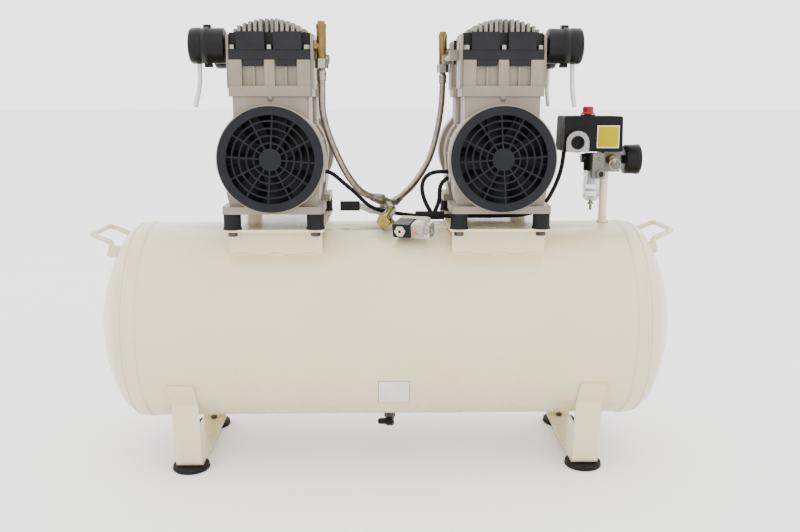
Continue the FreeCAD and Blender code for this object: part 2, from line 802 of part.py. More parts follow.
def cylinder_head(name):
    """The front head: a black box with bolt notches and arched cooling fins."""
    outer, inner = -dim.head_outer, -dim.head_inner
    low, high, top = dim.head_low, dim.head_high, dim.fin_high
    block = rounded(f"{name}_block", box(f"{name}_box", (-dim.head_half, dim.head_half), (outer, inner),
                                         (low, high)),
                    3, UPRIGHT)
    skirts = [box(f"{name}_skirt_{side}", x, (outer + 0.5, outer + 7.5), (low - 9, low + 1))
              for side, x in ((-1, (-39, -10)), (1, (10, 39)))]
    fins = []
    middle = (FIN_COUNT - 1) / 2
    for index in range(FIN_COUNT):
        x = (index - middle) * FIN_PITCH
        drop = FIN_DROP * ((index - middle) / middle) ** 2
        fins.append(box(f"{name}_fin_{index}", (x - FIN_THICK / 2, x + FIN_THICK / 2),
                        (outer + 1, inner - 1),
                        (high - 1, top - drop)))
    hull = extruded(f"{name}_hull", "YZ_Plane",
                    [(outer + 1, high - 2), (outer + 1, top - 13), (outer + 3, top - 6), (outer + 7, top),
                     (inner - 7, top), (inner - 3, top - 6), (inner - 1, top - 13), (inner - 1,
                                                                                     high - 2)], 120)
    crown = common(f"{name}_crown", fuse(f"{name}_fins", *fins), hull)
    notches = []
    for index, (x, y) in enumerate(bolt_places()):
        deep = (outer - 1, y + 8) if y < -82 else (y - 8, inner + 1)
        side = (x - 6.5, x + 6.5) if x == 0 else ((-62, x + 6.5) if x < 0 else (x - 6.5, 62))
        notches.append(box(f"{name}_notch_{index}", side, deep, (low + 15, top + 1)))
        notches.append(cylinder(f"{name}_hole_{index}", "Z", 3.1, (low - 1, low + 16), (x, y)))
    notches.append(box(f"{name}_seam", (-62, 62), (outer - 1, outer + 0.9), (low + 13, low + 14.6)))
    return cut(name, fuse(f"{name}_body", block, crown, *skirts), *notches)


def piston(name):
    """A rocking piston and its rod, held at the top of its stroke, with its eccentric around the shaft."""
    disc = cylinder(f"{name}_disc", "Z", 26.9, (636, 646), (0, -82.5))
    stem = box(f"{name}_stem", (-8, 8), (-88.5, -76.5), (dim.shaft_z + 20, 637))
    eye = cylinder(f"{name}_eye", "Y", 26, (-90, -75), (0, dim.shaft_z + 8))
    return cut(name, fuse(f"{name}_body", disc, stem, eye),
               wheel(f"{name}_clear", dim.shaft_radius + 0.3, (-100, -60)))


def bearing(name, low):
    return cut(name, wheel(f"{name}_ring", 16, (low, low + 6)),
               wheel(f"{name}_eye", dim.shaft_radius + 0.05, (low - 1, low + 7)))


def intake_filter(name):
    """A two-part canister on its side, with a clamp collar and a neck into the head's port."""
    step = [(0, dim.head_half), (12.6, dim.head_half), (12.6, 67.4), (24, 67.4), (26, 69), (26, 89),
            (28.4, 90), (28.4, 95.5),
            (26.6, 96.5), (26.6, 99.5), (25.2, 100.3), (25.2, 101.6), (26.6, 102.6), (26.6, 115.5),
            (24.6, 118.6), (21, 119.6), (0, 119.6)]
    can = turned(f"{name}_can", step, "X", (0, -dim.port_y, dim.port_z))
    tabs = [box(f"{name}_tab_{side}", (87.5, 98.5), (-dim.port_y - 5, 5 - dim.port_y),
                (dim.port_z + side * 28.5 - 3, dim.port_z + side * 28.5 + 2)) for side in (-1, 1)]
    return fuse(name, can, *tabs)


def intake_filters():
    """Two canisters on each pump's outer side."""
    placed = []
    for name, side in SIDES:
        front = intake_filter(f"filter_{name}_front")
        if side < 0:
            front = mirrored(f"filter_{name}_outer", front, Vector(1, 0, 0))
        rear = mirrored(f"filter_{name}_rear", front)
        placed.append(put(group(f"filters_{name}", front, rear), Rotation(), dim.pump_x * side, 0, 0))
    return part(group("filters", *placed), "intake_filters")


TEE_X = 76.0


def discharge_tee():
    """The brass tee on the pump's inner side, which feeds the hose below it."""
    at = (TEE_X, -dim.port_y)
    z = dim.port_z
    solids = [
        cylinder("tee_cap", "Z", 5.8, (z + 31, z + 36), at),
        hexagon("tee_hex", "Z", 13.4, (z + 24.5, z + 32), at),
        cylinder("tee_upper", "Z", 7.35, (z + 5, z + 25), at),
        cylinder("tee_lower", "Z", 7.0, (z - 18.5, z + 6), at),
        cylinder("tee_branch", "X", 6.4, (dim.head_half, TEE_X), (-dim.port_y, z)),
        hexagon("tee_branch_hex", "X", 14, (64.7, 69), (-dim.port_y, z)),
    ]
    return fuse("tee", *solids)


def crossover_tube():
    """The pipe that carries the second cylinder's air to the tee's cylinder."""
    pipe = cylinder("crossover_pipe", "Y", 4.5, (-66, 66), (71.5, dim.port_z - 12))
    blocks = [box(f"crossover_block_{side}", (64.6, 78), (side * 70 - 8, side * 70 + 8),
                  (dim.port_z - 20, dim.port_z - 4))
              for side in (-1, 1)]
    blocks = [rounded(f"crossover_end_{index}", block, 3, DEEPWISE) for index, block in enumerate(blocks)]
    return fuse("crossover", pipe, *blocks)


def pumps():
    """Both pumps: the second is the first turned half round about its upright middle line."""
    shared = {"pistons": [], "crossover_tubes": [], "shaft_bearings": []}
    front_case = crankcase("crankcase")
    front_block = cylinder_block("block")
    front_head = cylinder_head("head")
    front_fan = fan("fan")
    motor = stator()
    spindle = rotor()
    tee = discharge_tee()
    pipe = crossover_tube()
    front_piston = piston("piston")
    rings = [bearing("bearing_outer", -101), bearing("bearing_inner", -51)]
    pairs = {name: (piece, mirrored(f"{name}_rear", piece))
             for name, piece in (("cylinders", front_block), ("heads", front_head), ("fans", front_fan))}
    rear_case = mirrored("crankcase_back", front_case)
    rear_piston = mirrored("piston_back", front_piston)
    rear_rings = [mirrored(f"bearing_back_{index}", ring) for index, ring in enumerate(rings)]
    for name, side in SIDES:
        nearer, further = (front_case, rear_case) if side < 0 else (rear_case, front_case)
        part(on_pump(group(f"case_front_{name}", nearer), side), f"crankcase_front_{name}")
        part(on_pump(group(f"case_rear_{name}", further), side), f"crankcase_rear_{name}")
        for label, pieces in pairs.items():
            part(on_pump(group(f"{label}_of_{name}", *pieces), side), f"{label}_{name}")
        part(on_pump(group(f"stator_of_{name}", motor), side), f"stator_{name}")
        part(on_pump(group(f"rotor_of_{name}", spindle), side), f"rotor_{name}")
        part(on_pump(group(f"tee_of_{name}", tee), side), f"discharge_tee_{name}")
        shared["pistons"].append(on_pump(group(f"pistons_of_{name}", front_piston, rear_piston), side))
        shared["crossover_tubes"].append(on_pump(group(f"crossover_of_{name}", pipe), side))
        shared["shaft_bearings"].append(on_pump(group(f"bearings_of_{name}", *rings, *rear_rings), side))
    for label, pieces in shared.items():
        part(group(f"all_{label}", *pieces), label)


def rubber_mounts():
    """Rubber bushes between the brackets and the pumps' foot plates."""
    bushes = []
    for name, side in SIDES:
        for x in (-1, 1):
            for y in (-1, 1):
                label = f"bush_{name}_{x}_{y}".replace("-", "n")
                height = dim.base_low - dim.bracket_top
                bushes.append(turned(label, [(4.4, 0), (14.4, 0), (14.4, 2), (13.2, 4), (13.2, height - 3),
                                             (14, height - 1.5), (14, height), (4.4, height)], "Z",
                                     (dim.pump_x * side + dim.mount_x * x, dim.mount_y * y,
                                      dim.bracket_top)))
    return part(group("bushes", *bushes), "rubber_mounts")


def hex_bolt(name, across, head, radius, shank, at):
    """A hex bolt along Z: head and shank are (low, high) spans."""
    return fuse(name, rounded(f"{name}_head", hexagon(f"{name}_hex", "Z", across, head, at), 0.4,
                              not_upright),
                cylinder(f"{name}_shank", "Z", radius, shank, at))


def not_upright(edge):
    return not UPRIGHT(edge)


def hex_bolts():
    """Head bolts, mount bolts under the brackets and foot screws."""
    bolts = []
    low = dim.head_low
    for name, side in SIDES:
        for end in (-1, 1):
            for index, (x, y) in enumerate(bolt_places()):
                label = f"head_bolt_{name}_{end}_{index}".replace("-", "n")
                at = (dim.pump_x * side + x, y * -end)
                bolts.append(hex_bolt(label, 9.8, (low + 15, low + 21.5), 3, (low - 13, low + 16), at))
        for x in (-1, 1):
            for y in (-1, 1):
                label = f"mount_bolt_{name}_{x}_{y}".replace("-", "n")
                under = dim.bracket_top - dim.strap_thick
                at = (dim.pump_x * side + dim.mount_x * x, dim.mount_y * y)
                bolts.append(hex_bolt(label, 13, (under - 7, under), 4, (under - 1, dim.base_low + 8), at))
                label = f"foot_screw_{name}_{x}_{y}".replace("-", "n")
                if x > 0:
                    at = (dim.leg_x * side, dim.pad_y * y)
                    strap = dim.pad_height + dim.strap_thick
                    bolts.append(hex_bolt(label, 10, (strap, strap + 4.5), 3, (5, strap + 1), at))
    return part(group("bolts", *bolts), "hex_bolts")


# ---------------------------------------------------------------- drain, inlet and outlet fittings


def drain_fittings():
    """A small ball valve under the tank, with its lever at the front."""
    at = (4, 0)
    body = fuse("drain_body", cylinder("drain_thread", "Z", 6.55, (58, 74), at),
                hexagon("drain_hex", "Z", 17, (50, 60), at),
                cylinder("drain_barrel", "Z", 7.5, (40, 51), at), hexagon("drain_end", "Z", 14, (35, 41),
                                                                          at),
                cylinder("drain_boss", "Y", 5, (-10, 0), (4, 46)))
    bores = [cylinder("drain_way", "Z", 3, (34, 43), at),
             cylinder("drain_seat", "Y", 2.55, (-11, -4), (4, 46))]
    part(cut("drain", body, *bores), "drain_valve")
    lever = fuse("drain_handle",
                 rounded("drain_handle_plate", box("drain_handle_bar", (-17, 9.5), (-14.2, -10.6),
                                                   (41, 51)), 4.5, DEEPWISE),
                 cylinder("drain_stem", "Y", 2.5, (-12, -4.5), (4, 46)), cylinder("drain_nut", "Y", 3.6,
                                                                                  (-16, -14), (4, 46)))
    part(lever, "drain_lever")


def outlet_fittings():
    """The tank's ball valve, behind the inlet fittings, with a long flat lever."""
    at = (-2, 45)
    z = 408
    body = fuse("outlet_body", cylinder("outlet_thread", "Z", 8.5, (380, 397), at),
                hexagon("outlet_hex", "Z", 21, (396, 401), at),
                cylinder("outlet_barrel", "Z", 10.5, (400, 418), at), hexagon("outlet_end", "Z", 21,
                                                                              (417, 427), at),
                cylinder("outlet_boss", "Y", 6, (31, 45), (-2, z)))
    bores = [cylinder("outlet_port", "Z", 7.2, (413, 428), at),
             cylinder("outlet_seat", "Y", 3.05, (30, 38), (-2, z))]
    part(cut("outlet", body, *bores), "outlet_valve")
    strip = extruded("outlet_strip", "XZ_Plane",
                     [(-6, -7), (6, -7), (6, 7), (-6, 7), (-24, 6.5), (-42, 13.5), (-62, 14.5),
                                                  (-62, 5), (-42, 3), (-26, -4)], 2.6, (-2, 28.6, z))
    grip = rounded("outlet_sleeve", box("outlet_grip", (-79, -46), (24.8, 32.4), (z + 0.5, z + 17)), 3.2,
                   LENGTHWISE)
    stem = cylinder("outlet_stem", "Y", 3, (27, 38), (-2, z))
    nut = hexagon("outlet_nut", "Y", 9, (23.6, 27.4), (-2, z))
    part(fuse("outlet_handle", strip, grip, stem, nut), "outlet_lever")


TILT = Rotation(Vector(0, 0, 1), -17.5).multiply(Rotation(Vector(1, 0, 0), 16))


def tilted(item, x, y, z):
    """Place a fitting of the inlet group, whose own axis runs back along +Y before it is tilted."""
    return put(item, TILT, x, y, z)


def inlet_fittings():
    """The brass check valve under the tee where both hoses meet, with its leg into the tank."""
    barrel = [(0, 0), (9.6, 0), (11.4, 1.6), (11.4, 9), (9.8, 10), (9.8, 14), (8.2, 15), (8.2, 40),
              (6.5, 42), (6.5, 50), (0, 50)]
    valve = turned("check_barrel", barrel, "Y")
    cap = hexagon("check_cap", "Y", 20.5, (-3, 8), (0, 0))
    tilted_valve = tilted(group("check_tilted", fuse("check_front", valve, cap)), -5.5, -62, 403)
    leg_down = cylinder("check_leg", "Z", 6.5, (386, 404), INLET_AT)
    nut = hexagon("check_nut", "Z", 17, (396.2, 401), INLET_AT)
    part(fuse("check_valve_body", tilted_valve, leg_down, nut), "check_valve")


def place_solenoid(item):
    return put(item, Rotation(Vector(0, 0, 1), -22).multiply(Rotation(Vector(1, 0, 0), 12)), 27, -84, 394.5)


def unloader():
    """The unloader's solenoid coil on its valve body, and the clear plug on its side."""
    coil = rounded("coil_block", box("coil_box", (-15, 15), (-13, 17), (-11, 11)), 2.5, DEEPWISE)
    nut = hexagon("coil_nut", "Y", 15, (-17, -12), (-2, 0))
    neck = cylinder("coil_neck", "Y", 6, (16, 24), (0, 0))
    body = cylinder("unloader_body", "X", 7, (-14, 26), (27, 4))
    end = hexagon("unloader_end", "X", 13, (23, 29), (27, 4))
    solid = cut("unloader_solid", fuse("unloader_pieces", coil, nut, neck, body, end),
                cylinder("unloader_hole", "X", 3, (22, 30), (27, 4)), cylinder("coil_dimple", "Y", 2.4,
                                                                               (-18, -14), (-2, 0)))
    part(place_solenoid(group("unloader_group", solid)), "solenoid_valve")
    shell = rounded("plug_block", box("plug_box", (15.2, 45), (-11, 15), (-12, 10)), 3, LENGTHWISE)
    gland = cylinder("plug_gland", "Z", 5, (9, 17), (37, 6))
    part(place_solenoid(group("plug_group", fuse("plug_solid", shell, gland))), "solenoid_plug")


# ---------------------------------------------------------------- pressure switch and its manifold


def switch_group():
    """The pressure switch on its riser, with the manifold, safety valve, filter and gauge."""
    block = rounded("manifold_block", box("manifold_box", (352.8, 383), (-20, 18), (478, 511)), 3, UPRIGHT)
    side = cylinder("manifold_side", "X", 7.4, (382, 388), (0, 497))
    holes = [cylinder("manifold_riser", "Z", dim.riser_radius + 0.05, (477, 482.1), (dim.riser_x, 0)),
             cylinder("manifold_gauge", "X", 5.05, (378.9, 390), (0, 497)),
             cylinder("manifold_valve", "Y", 5.05, (-21, -12), (367, 498))]
    part(cut("manifold_cut", fuse("manifold_body", block, side), *holes), "manifold")

    outline = [(286, 511), (383, 511), (381.5, 566), (379.5, 568), (289.5, 568), (287.5, 566)]
    cover = rounded("switch_cover", extruded("switch_shell", "XZ_Plane", outline, 64, (0, 2, 0)), 3,
                    DEEPWISE)
    arch = fuse("switch_arch", cylinder("switch_gland", "Y", 18, (-36, -29), (308, 528)),
                box("switch_gland_base", (290, 326), (-36, -29), (511, 528)))
    shoulder = cylinder("switch_shoulder", "Z", 12.5, (567, 570), (331, 0))
    floor_plate = box("switch_floor", (288, 381), (-28, 32), (511, 512))
    body = fuse("switch_solid", cover, arch, shoulder, floor_plate)
    sockets = [cylinder("switch_cord_hole", "Y", 11.2, (-37, -24), (308, 526)),
               cylinder("switch_knob_hole", "Z", 6.1, (555, 571), (331, 0)),
               cylinder("switch_cable_hole", "Z", 3.6, (510, 516), (291.5, -10))]
    part(cut("switch_body_cut", body, *sockets), "switch_body")
    part(turned("knob_turned", [(0, -10), (6.05, -10), (6.05, 3.6), (11.6, 3.6), (11.6, 5), (9.2, 7),
                                (8.6, 9), (8.6, 15),
                                (7.4, 16.2), (0, 16.2)], "Z", (331, 0, 567)), "switch_knob")

    stub = [(0, 0), (5, 0), (5, 8), (8.4, 8), (8.4, 14), (7.2, 14.6), (7.2, 22), (6, 23), (0, 23)]
    valve = turned("safety_turned", stub, "Y", (367, 0, 498))
    valve.Placement = Placement(Vector(367, -12, 498), Rotation(Vector(1, 0, 0), 90))
    part(cut("safety_cut", valve, cylinder("safety_bore", "Y", 1.85, (-36, -22), (367, 498))),
         "safety_valve")
    ring = doc.addObject("Part::Torus", "safety_ring")
    ring.Radius1, ring.Radius2 = 9.0, 1.0
    put(ring, Rotation(Vector(1, 0, 0), 78), 368.5, -41.5, 491)
    part(fuse("safety_pin", cylinder("safety_stem", "Y", 1.8, (-43, -26), (367, 498)),
              cylinder("safety_eye", "Y", 3, (-43, -38), (367, 498)), ring), "safety_pull")

    plate = rounded("outlet_block_plate", box("outlet_block_box", (333, 352), (-38, -26.2), (468, 509)),
                    3, DEEPWISE)
    neck = cylinder("outlet_block_neck", "Y", 5, (-28, -22), (339.5, 494))
    boss = cylinder("outlet_block_boss", "Y", 7.2, (-43, -37), (346, 475.5))
    screw = cylinder("outlet_block_screw", "Y", 4, (-39.6, -37), (346, 501))
    part(cut("outlet_block_cut", fuse("outlet_block_body", plate, neck, boss, screw),
             cylinder("outlet_block_port", "Y", 4.3, (-44, -30), (346, 475.5))), "outlet_block")

    cap = turned("filter_cap_turned", [(0, 0), (14.2, 0), (14.2, 26), (12.8, 28), (0, 28)], "Z",
                 (338.4, -11.8, 480))
    link = cylinder("filter_cap_link", "X", 7, (340, 352.8), (-9, 496))
    left = cylinder("filter_cap_plug", "X", 7.4, (319.5, 326), (-11.8, 500))
    part(cut("filter_cap_cut", fuse("filter_cap_body", cap, link, left),
             cylinder("filter_cap_bore", "Z", 12.55, (479, 486.7), (338.4, -11.8)),
             cylinder("filter_cap_port", "Y", 5, (-28, -22), (339.5, 494))), "filter_cap")
    bowl = [(0, 0), (8, 0), (12.4, 4), (13.5, 10), (13.5, 50), (12.5, 50), (12.5, 56.8), (10.6, 56.8),
            (10.6, 10), (8, 5), (0, 3)]
    part(cut("bowl_cut", turned("bowl_turned", bowl, "Z", (338.4, -11.8, 429.8)),
             cylinder("bowl_hole", "Z", 3.05, (429, 436), (338.4, -11.8))), "filter_bowl")
    part(turned("bowl_drain_turned", [(0, -16), (1.6, -16), (2.4, -15), (2.4, -7), (5, -6), (5, -3.4),
                                      (3, -2.6), (3, 6), (0, 6)],
                "Z", (338.4, -11.8, 429.8)), "bowl_drain")

    case = [(0, -12), (5, -12), (5, -3), (7.2, -3), (7.2, 0.5), (20, 0.5), (24, 3), (24, 20),
            (24.8, 20.6), (24.8, 26.5), (23, 27.5),
            (21.4, 27.5), (21.4, 22.5), (0, 22.5)]
    gauge = turned("gauge_turned", case, "X", (391, 0, 497))
    pivot = cylinder("gauge_pivot_hole", "X", 1.05, (408, 416), (0, 497))
    part(cut("gauge_cut", gauge, pivot), "pressure_gauge")
    part(cylinder("lens", "X", 21.4, (417, 418.2), (0, 497)), "gauge_lens")
    pointer = extruded("needle_blade", "YZ_Plane", [(-1.1, -5), (1.1, -5), (0.5, 17), (-0.5, 17)], 0.7,
                       (415, 0, 497))
    to_zero = Rotation(Vector(1, 0, 0), 135)
    pointer.Placement = Placement(pointer.Placement.Base, to_zero.multiply(pointer.Placement.Rotation))
    boss = cylinder("needle_boss", "X", 2.4, (414.3, 416), (0, 497))
    pin = cylinder("needle_pin", "X", 1.0, (409, 415), (0, 497))
    part(fuse("needle", pointer, boss, pin), "gauge_needle")


# ---------------------------------------------------------------- hoses and cables

HOSE_LEFT = [(-98, -98, 631), (-98.2, -98, 606), (-98.8, -96, 578), (-92, -89, 546), (-80, -78, 514),
             (-67, -65, 484),
             (-51, -50.5, 458), (-34.5, -36, 441.5), (-14, -20.5, 434.7)]
HOSE_RIGHT = [(98, 98, 631), (97.8, 98, 606), (95.5, 95.5, 578), (90.5, 89.5, 548), (83.5, 80, 520),
              (74.5, 67.5, 494),
              (61, 51, 472), (44, 31, 451), (28, 13, 438), (18, 3, 430.5)]
TUBE_LEFT = [(-281, -98, 646.2), (-281, -98, 630), (-282.5, -98, 612), (-286, -98.5, 596),
             (-290, -99.5, 583)]
TUBE_RIGHT = [(281, -98, 646.2), (281, -98, 630), (281.8, -98, 612), (284, -98.5, 596), (286.5, -99.5, 583)]
TUBE_REAR = [(281, 98, 646.2), (281, 98, 630), (280.4, 98.3, 612), (281.6, 98.6, 596), (284, 99.5, 583)]
CABLE_LEFT = [(-103.5, 8, 478), (-93, 8.4, 475.5), (-82, 10.3, 466.5), (-66, 13, 452), (-50, 14, 438.5),
              (-37, 15, 424),
              (-23, 15, 414.5), (-5, 15, 409), (14, 12, 406.5), (32, 2, 405), (47, -7, 404.8)]
CABLE_RIGHT = [(95, -12, 404.5), (115, -12, 404.5), (150, -11.5, 404.2), (190, -12.5, 404.6),
               (225, -11.6, 405.5),
               (250, -12, 412), (265, -12, 428), (276, -11, 448), (285, -10.5, 470), (290, -10,
                                                                                      492), (291.5, -10,
                                                                                             511.5)]
LOOP_LEFT = [(103.5, 22, 475), (92, 21.5, 475.4), (80, 20.5, 474.5), (68.5, 19, 470), (61, 16, 461),
             (58.6, 11.5, 448.5),
             (61, 4.5, 434.5), (66.5, -4, 421), (72.5, -9.5, 411.5)]
LOOP_RIGHT = [(103.5, 17, 466), (95.5, 16.5, 460.5), (89.5, 14.5, 451), (88.5, 10.5, 441.5), (88, 4, 431),
              (84.5, -4, 420.5), (79.5, -10.5, 411.5)]


def hoses_and_cables():
    part(tube("hose_left_tube", HOSE_LEFT, mm(dim.hose_radius)), "hose_left")
    part(tube("hose_right_tube", HOSE_RIGHT, mm(dim.hose_radius)), "hose_right")
    part(tube("filter_tube_left_tube", TUBE_LEFT, 3.6), "filter_tube_left")
    part(tube("filter_tube_right_tube", TUBE_RIGHT, 3.6), "filter_tube_right")
    part(tube("filter_tube_rear_tube", TUBE_REAR, 3.6), "filter_tube_rear")
    part(tube("cable_left_tube", CABLE_LEFT, 3.5), "cable_left")
    part(tube("cable_right_tube", CABLE_RIGHT, 3.5), "cable_right")
    part(tube("cable_loop_left_tube", LOOP_LEFT, 3.6), "cable_loop_left")
    part(tube("cable_loop_right_tube", LOOP_RIGHT, 3.6), "cable_loop_right")


def arm(name, radius, start, end):
    """A round bar between two points."""
    start, end = Vector(*start), Vector(*end)
    item = doc.addObject("Part::Cylinder", name)
    bind(item, "Radius", radius)
    item.Height = (end - start).Length
    item.Placement = Placement(start, Rotation(Vector(0, 0, 1), end - start))
    return item


CRIMPED = [(0, -9), (6.4, -9), (6.8, -8.4), (6.8, -5.6), (6.1, -5), (6.8, -4.4), (6.8, -1.6), (6.1, -1),
           (6.8, -0.4),
           (6.8, 5.4), (5.2, 6.4), (5.2, 10), (0, 10)]
SWAGED = [(0, -14), (6.2, -14), (8.8, 2), (0, 2)]
PLAIN = [(0, -7), (6.2, -7), (6.8, 2), (0, 2)]


def hose_end(name, route, at_start, ferrule, nut):
    """A hose's end fitting: a ferrule turned from its outline, and a hexagon nut beyond it.

    The outline is (radius, height) with the hose's end at height 0; nut is (across flats, low, high).
    """
    end, inner = (route[0], route[1]) if at_start else (route[-1], route[-2])
    outward = (Vector(*end) - Vector(*inner)).normalize()
    across, low, high = nut
    solid = fuse(f"{name}_body", turned(f"{name}_ferrule", ferrule),
                 hexagon(f"{name}_nut", "Z", across, (low, high), (0, 0)))
    bored = cut(f"{name}_bored", solid, cylinder(f"{name}_bore", "Z", dim.hose_radius + 0.02,
                                                 (ferrule[0][1] - 1, 0), (0, 0)))
    item = group(name, bored)
    item.Placement = Placement(Vector(*end), Rotation(Vector(0, 0, 1), outward))
    return item


def hose_fittings():
    """The crimped ends of the two hoses and the steel tee where they meet the check valve."""
    upper = [hose_end(f"upper_end_{index}", route, True, CRIMPED, (17.6, 9.4, 23.45))
             for index, route in enumerate((HOSE_LEFT, HOSE_RIGHT))]
    lower = [hose_end("lower_end_left", HOSE_LEFT, False, SWAGED, (15.5, 1, 9)),
             hose_end("lower_end_right", HOSE_RIGHT, False, PLAIN, (13.5, 1, 8))]
    middle = (3, -8, 427)
    arms = [arm("tee_arm_left", 6.6, middle, (-8, -15.9, 432.7)),
            arm("tee_arm_right", 5.8, middle, (13.5, -1.6, 427.4)),
            arm("tee_arm_valve", 6.4, middle, (9, -16.2, 416.8))]
    return part(group("fittings", *upper, fuse("tee_and_ends", *arms, *lower)), "hose_fittings")


def cable_sleeve():
    """A rubber sleeve over the joint of the cables."""
    tube_body = cylinder("sleeve_tube", "X", 7, (47, 95), (-12, 405.6))
    return part(rounded("sleeve", tube_body, 1.5, round_edge), "cable_sleeve")


# ---------------------------------------------------------------- build, check and write


def build():
    tank_shell()
    tank_heads()
    tank_ports()
    tank_legs()
    foot_pads()
    carry_handles()
    motor_brackets()
    pumps()
    fan_guards()
    intake_filters()
    rubber_mounts()
    hex_bolts()
    drain_fittings()
    outlet_fittings()
    inlet_fittings()
    unloader()
    switch_group()
    hoses_and_cables()
    hose_fittings()
    cable_sleeve()


def check_and_write():
    doc.recompute()
    failed = [item.Name for item in doc.Objects if {"Invalid", "Error"} & set(item.State)]
    if failed:
        raise ValueError(f"failed objects: {failed}")
    os.makedirs("parts", exist_ok=True)
    for item in PARTS:
        shape = item.Shape
        if shape.isNull() or not shape.isValid() or not shape.Solids:
            raise ValueError(f"{item.Label} has no valid shape")
        print(f"{item.Label}: {len(shape.Solids)} solids, {shape.Volume / 1000:.1f} cm3")
        shape.exportStep(os.path.join("parts", f"{item.Label}.step"))
    print(len(PARTS), "sub-parts")


build()
check_and_write()
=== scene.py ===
"""Looks for the twin-pump air compressor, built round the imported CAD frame.

Lengths are in metres in the CAD's frame: +X to the right, +Y to the back, +Z up, with the floor at 0.
"""

import math

import bmesh
import bpy
from mathutils import Matrix, Vector


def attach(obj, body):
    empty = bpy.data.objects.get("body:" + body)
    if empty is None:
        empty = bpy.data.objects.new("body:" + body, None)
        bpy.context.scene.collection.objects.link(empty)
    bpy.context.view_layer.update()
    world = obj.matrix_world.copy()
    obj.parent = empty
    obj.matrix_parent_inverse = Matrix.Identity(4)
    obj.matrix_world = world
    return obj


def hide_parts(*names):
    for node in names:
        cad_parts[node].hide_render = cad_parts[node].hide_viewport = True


MM = 0.001
SIDES = (("left", -1), ("right", 1))
PUMP_X_MM = 174
PUMP_X = PUMP_X_MM * MM
SHAFT_Z = 506 * MM
TANK_AXIS_MM = 230
TANK_RADIUS_MM = 163
SEAM_X_MM = 396
LIP_X_MM = 409
LIP_RADIUS_MM = 160.6
LIP_LEAN = 21

MATERIALS = {}

# ---------------------------------------------------------------- shader helpers


class Finish:
    """A procedural material, with short calls for the nodes that it is made of."""

    def __init__(self, name, roughness=0.5, metallic=0.0, colour=None, **sockets):
        self.material = bpy.data.materials.new(f"{name}_look")
        MATERIALS[name] = self.material
        self.material.use_nodes = True
        self.tree = self.material.node_tree
        self.shader = self.tree.nodes["Principled BSDF"]
        self.shader.inputs["Roughness"].default_value = roughness
        self.shader.inputs["Metallic"].default_value = metallic
        if colour:
            self.shader.inputs["Base Color"].default_value = colour
        for socket, value in sockets.items():
            self.shader.inputs[socket.replace("_", " ")].default_value = value
        self.heights = []
        self._coords = None

    def node(self, kind, **settings):
        made = self.tree.nodes.new(kind)
        for name, value in settings.items():
            setattr(made, name, value)
        return made

    def join(self, source, target):
        self.tree.links.new(source, target)

    def coords(self):
        if self._coords is None:
            self._coords = self.node("ShaderNodeTexCoord").outputs["Object"]
        return self._coords

    def stretched(self, scale):
        """The object's coordinates, scaled along each axis."""
        mapping = self.node("ShaderNodeMapping")
        mapping.inputs["Scale"].default_value = scale
        self.join(self.coords(), mapping.inputs["Vector"])
        return mapping.outputs["Vector"]

    def noise(self, scale, detail=3.0, roughness=0.5, vector=None):
        made = self.node("ShaderNodeTexNoise")
        made.inputs["Scale"].default_value = scale
        made.inputs["Detail"].default_value = detail
        made.inputs["Roughness"].default_value = roughness
        self.join(vector or self.coords(), made.inputs["Vector"])
        return made.outputs["Fac"]

    def spread(self, value, low, high, to_low, to_high):
        """value's range low to high, mapped to to_low to to_high and held there."""
        made = self.node("ShaderNodeMapRange")
        made.inputs["From Min"].default_value = low
        made.inputs["From Max"].default_value = high
        made.inputs["To Min"].default_value = to_low
        made.inputs["To Max"].default_value = to_high
        self.join(value, made.inputs["Value"])
        return made.outputs["Result"]

    def maths(self, operation, first, second=None):
        made = self.node("ShaderNodeMath", operation=operation)
        for socket, value in zip(made.inputs, (first, second)):
            if value is None:
                continue
            if isinstance(value, (int, float)):
                socket.default_value = value
            else:
                self.join(value, socket)
        return made.outputs["Value"]

    def blend(self, share, first, second):
        """A colour between two colours or colour outputs."""
        made = self.node("ShaderNodeMix", data_type="RGBA")
        factor, a, b = made.inputs[0], made.inputs[6], made.inputs[7]
        for socket, value in ((factor, share), (a, first), (b, second)):
            if isinstance(value, (tuple, list, float, int)):
                socket.default_value = value
            else:
                self.join(value, socket)
        return made.outputs[2]

    def axis(self, letter):
        """One of the object's coordinates."""
        split = self.node("ShaderNodeSeparateXYZ")
        self.join(self.coords(), split.inputs[0])
        return split.outputs[letter]

    def height(self, value, distance, strength=1.0):
        """Adds a height field to the surface's bumps; distance is in metres."""
        self.heights.append((value, distance, strength))

    def colour(self, value):
        self.join(value, self.shader.inputs["Base Color"])

    def gloss(self, value):
        self.join(value, self.shader.inputs["Roughness"])

    def metal(self, value):
        self.join(value, self.shader.inputs["Metallic"])

    def done(self, edge=0.0):
        """Links the bumps, over edges that look rounded by edge, and returns the material."""
        normal = None
        if edge:
            rounding = self.node("ShaderNodeBevel", samples=4)
            rounding.inputs["Radius"].default_value = edge
            normal = rounding.outputs["Normal"]
        for value, distance, strength in self.heights:
            bump = self.node("ShaderNodeBump")
            bump.inputs["Distance"].default_value = distance
            bump.inputs["Strength"].default_value = strength
            self.join(value, bump.inputs["Height"])
            if normal:
                self.join(normal, bump.inputs["Normal"])
            normal = bump.outputs["Normal"]
        if normal:
            self.join(normal, self.shader.inputs["Normal"])
        return self.material


# ---------------------------------------------------------------- materials


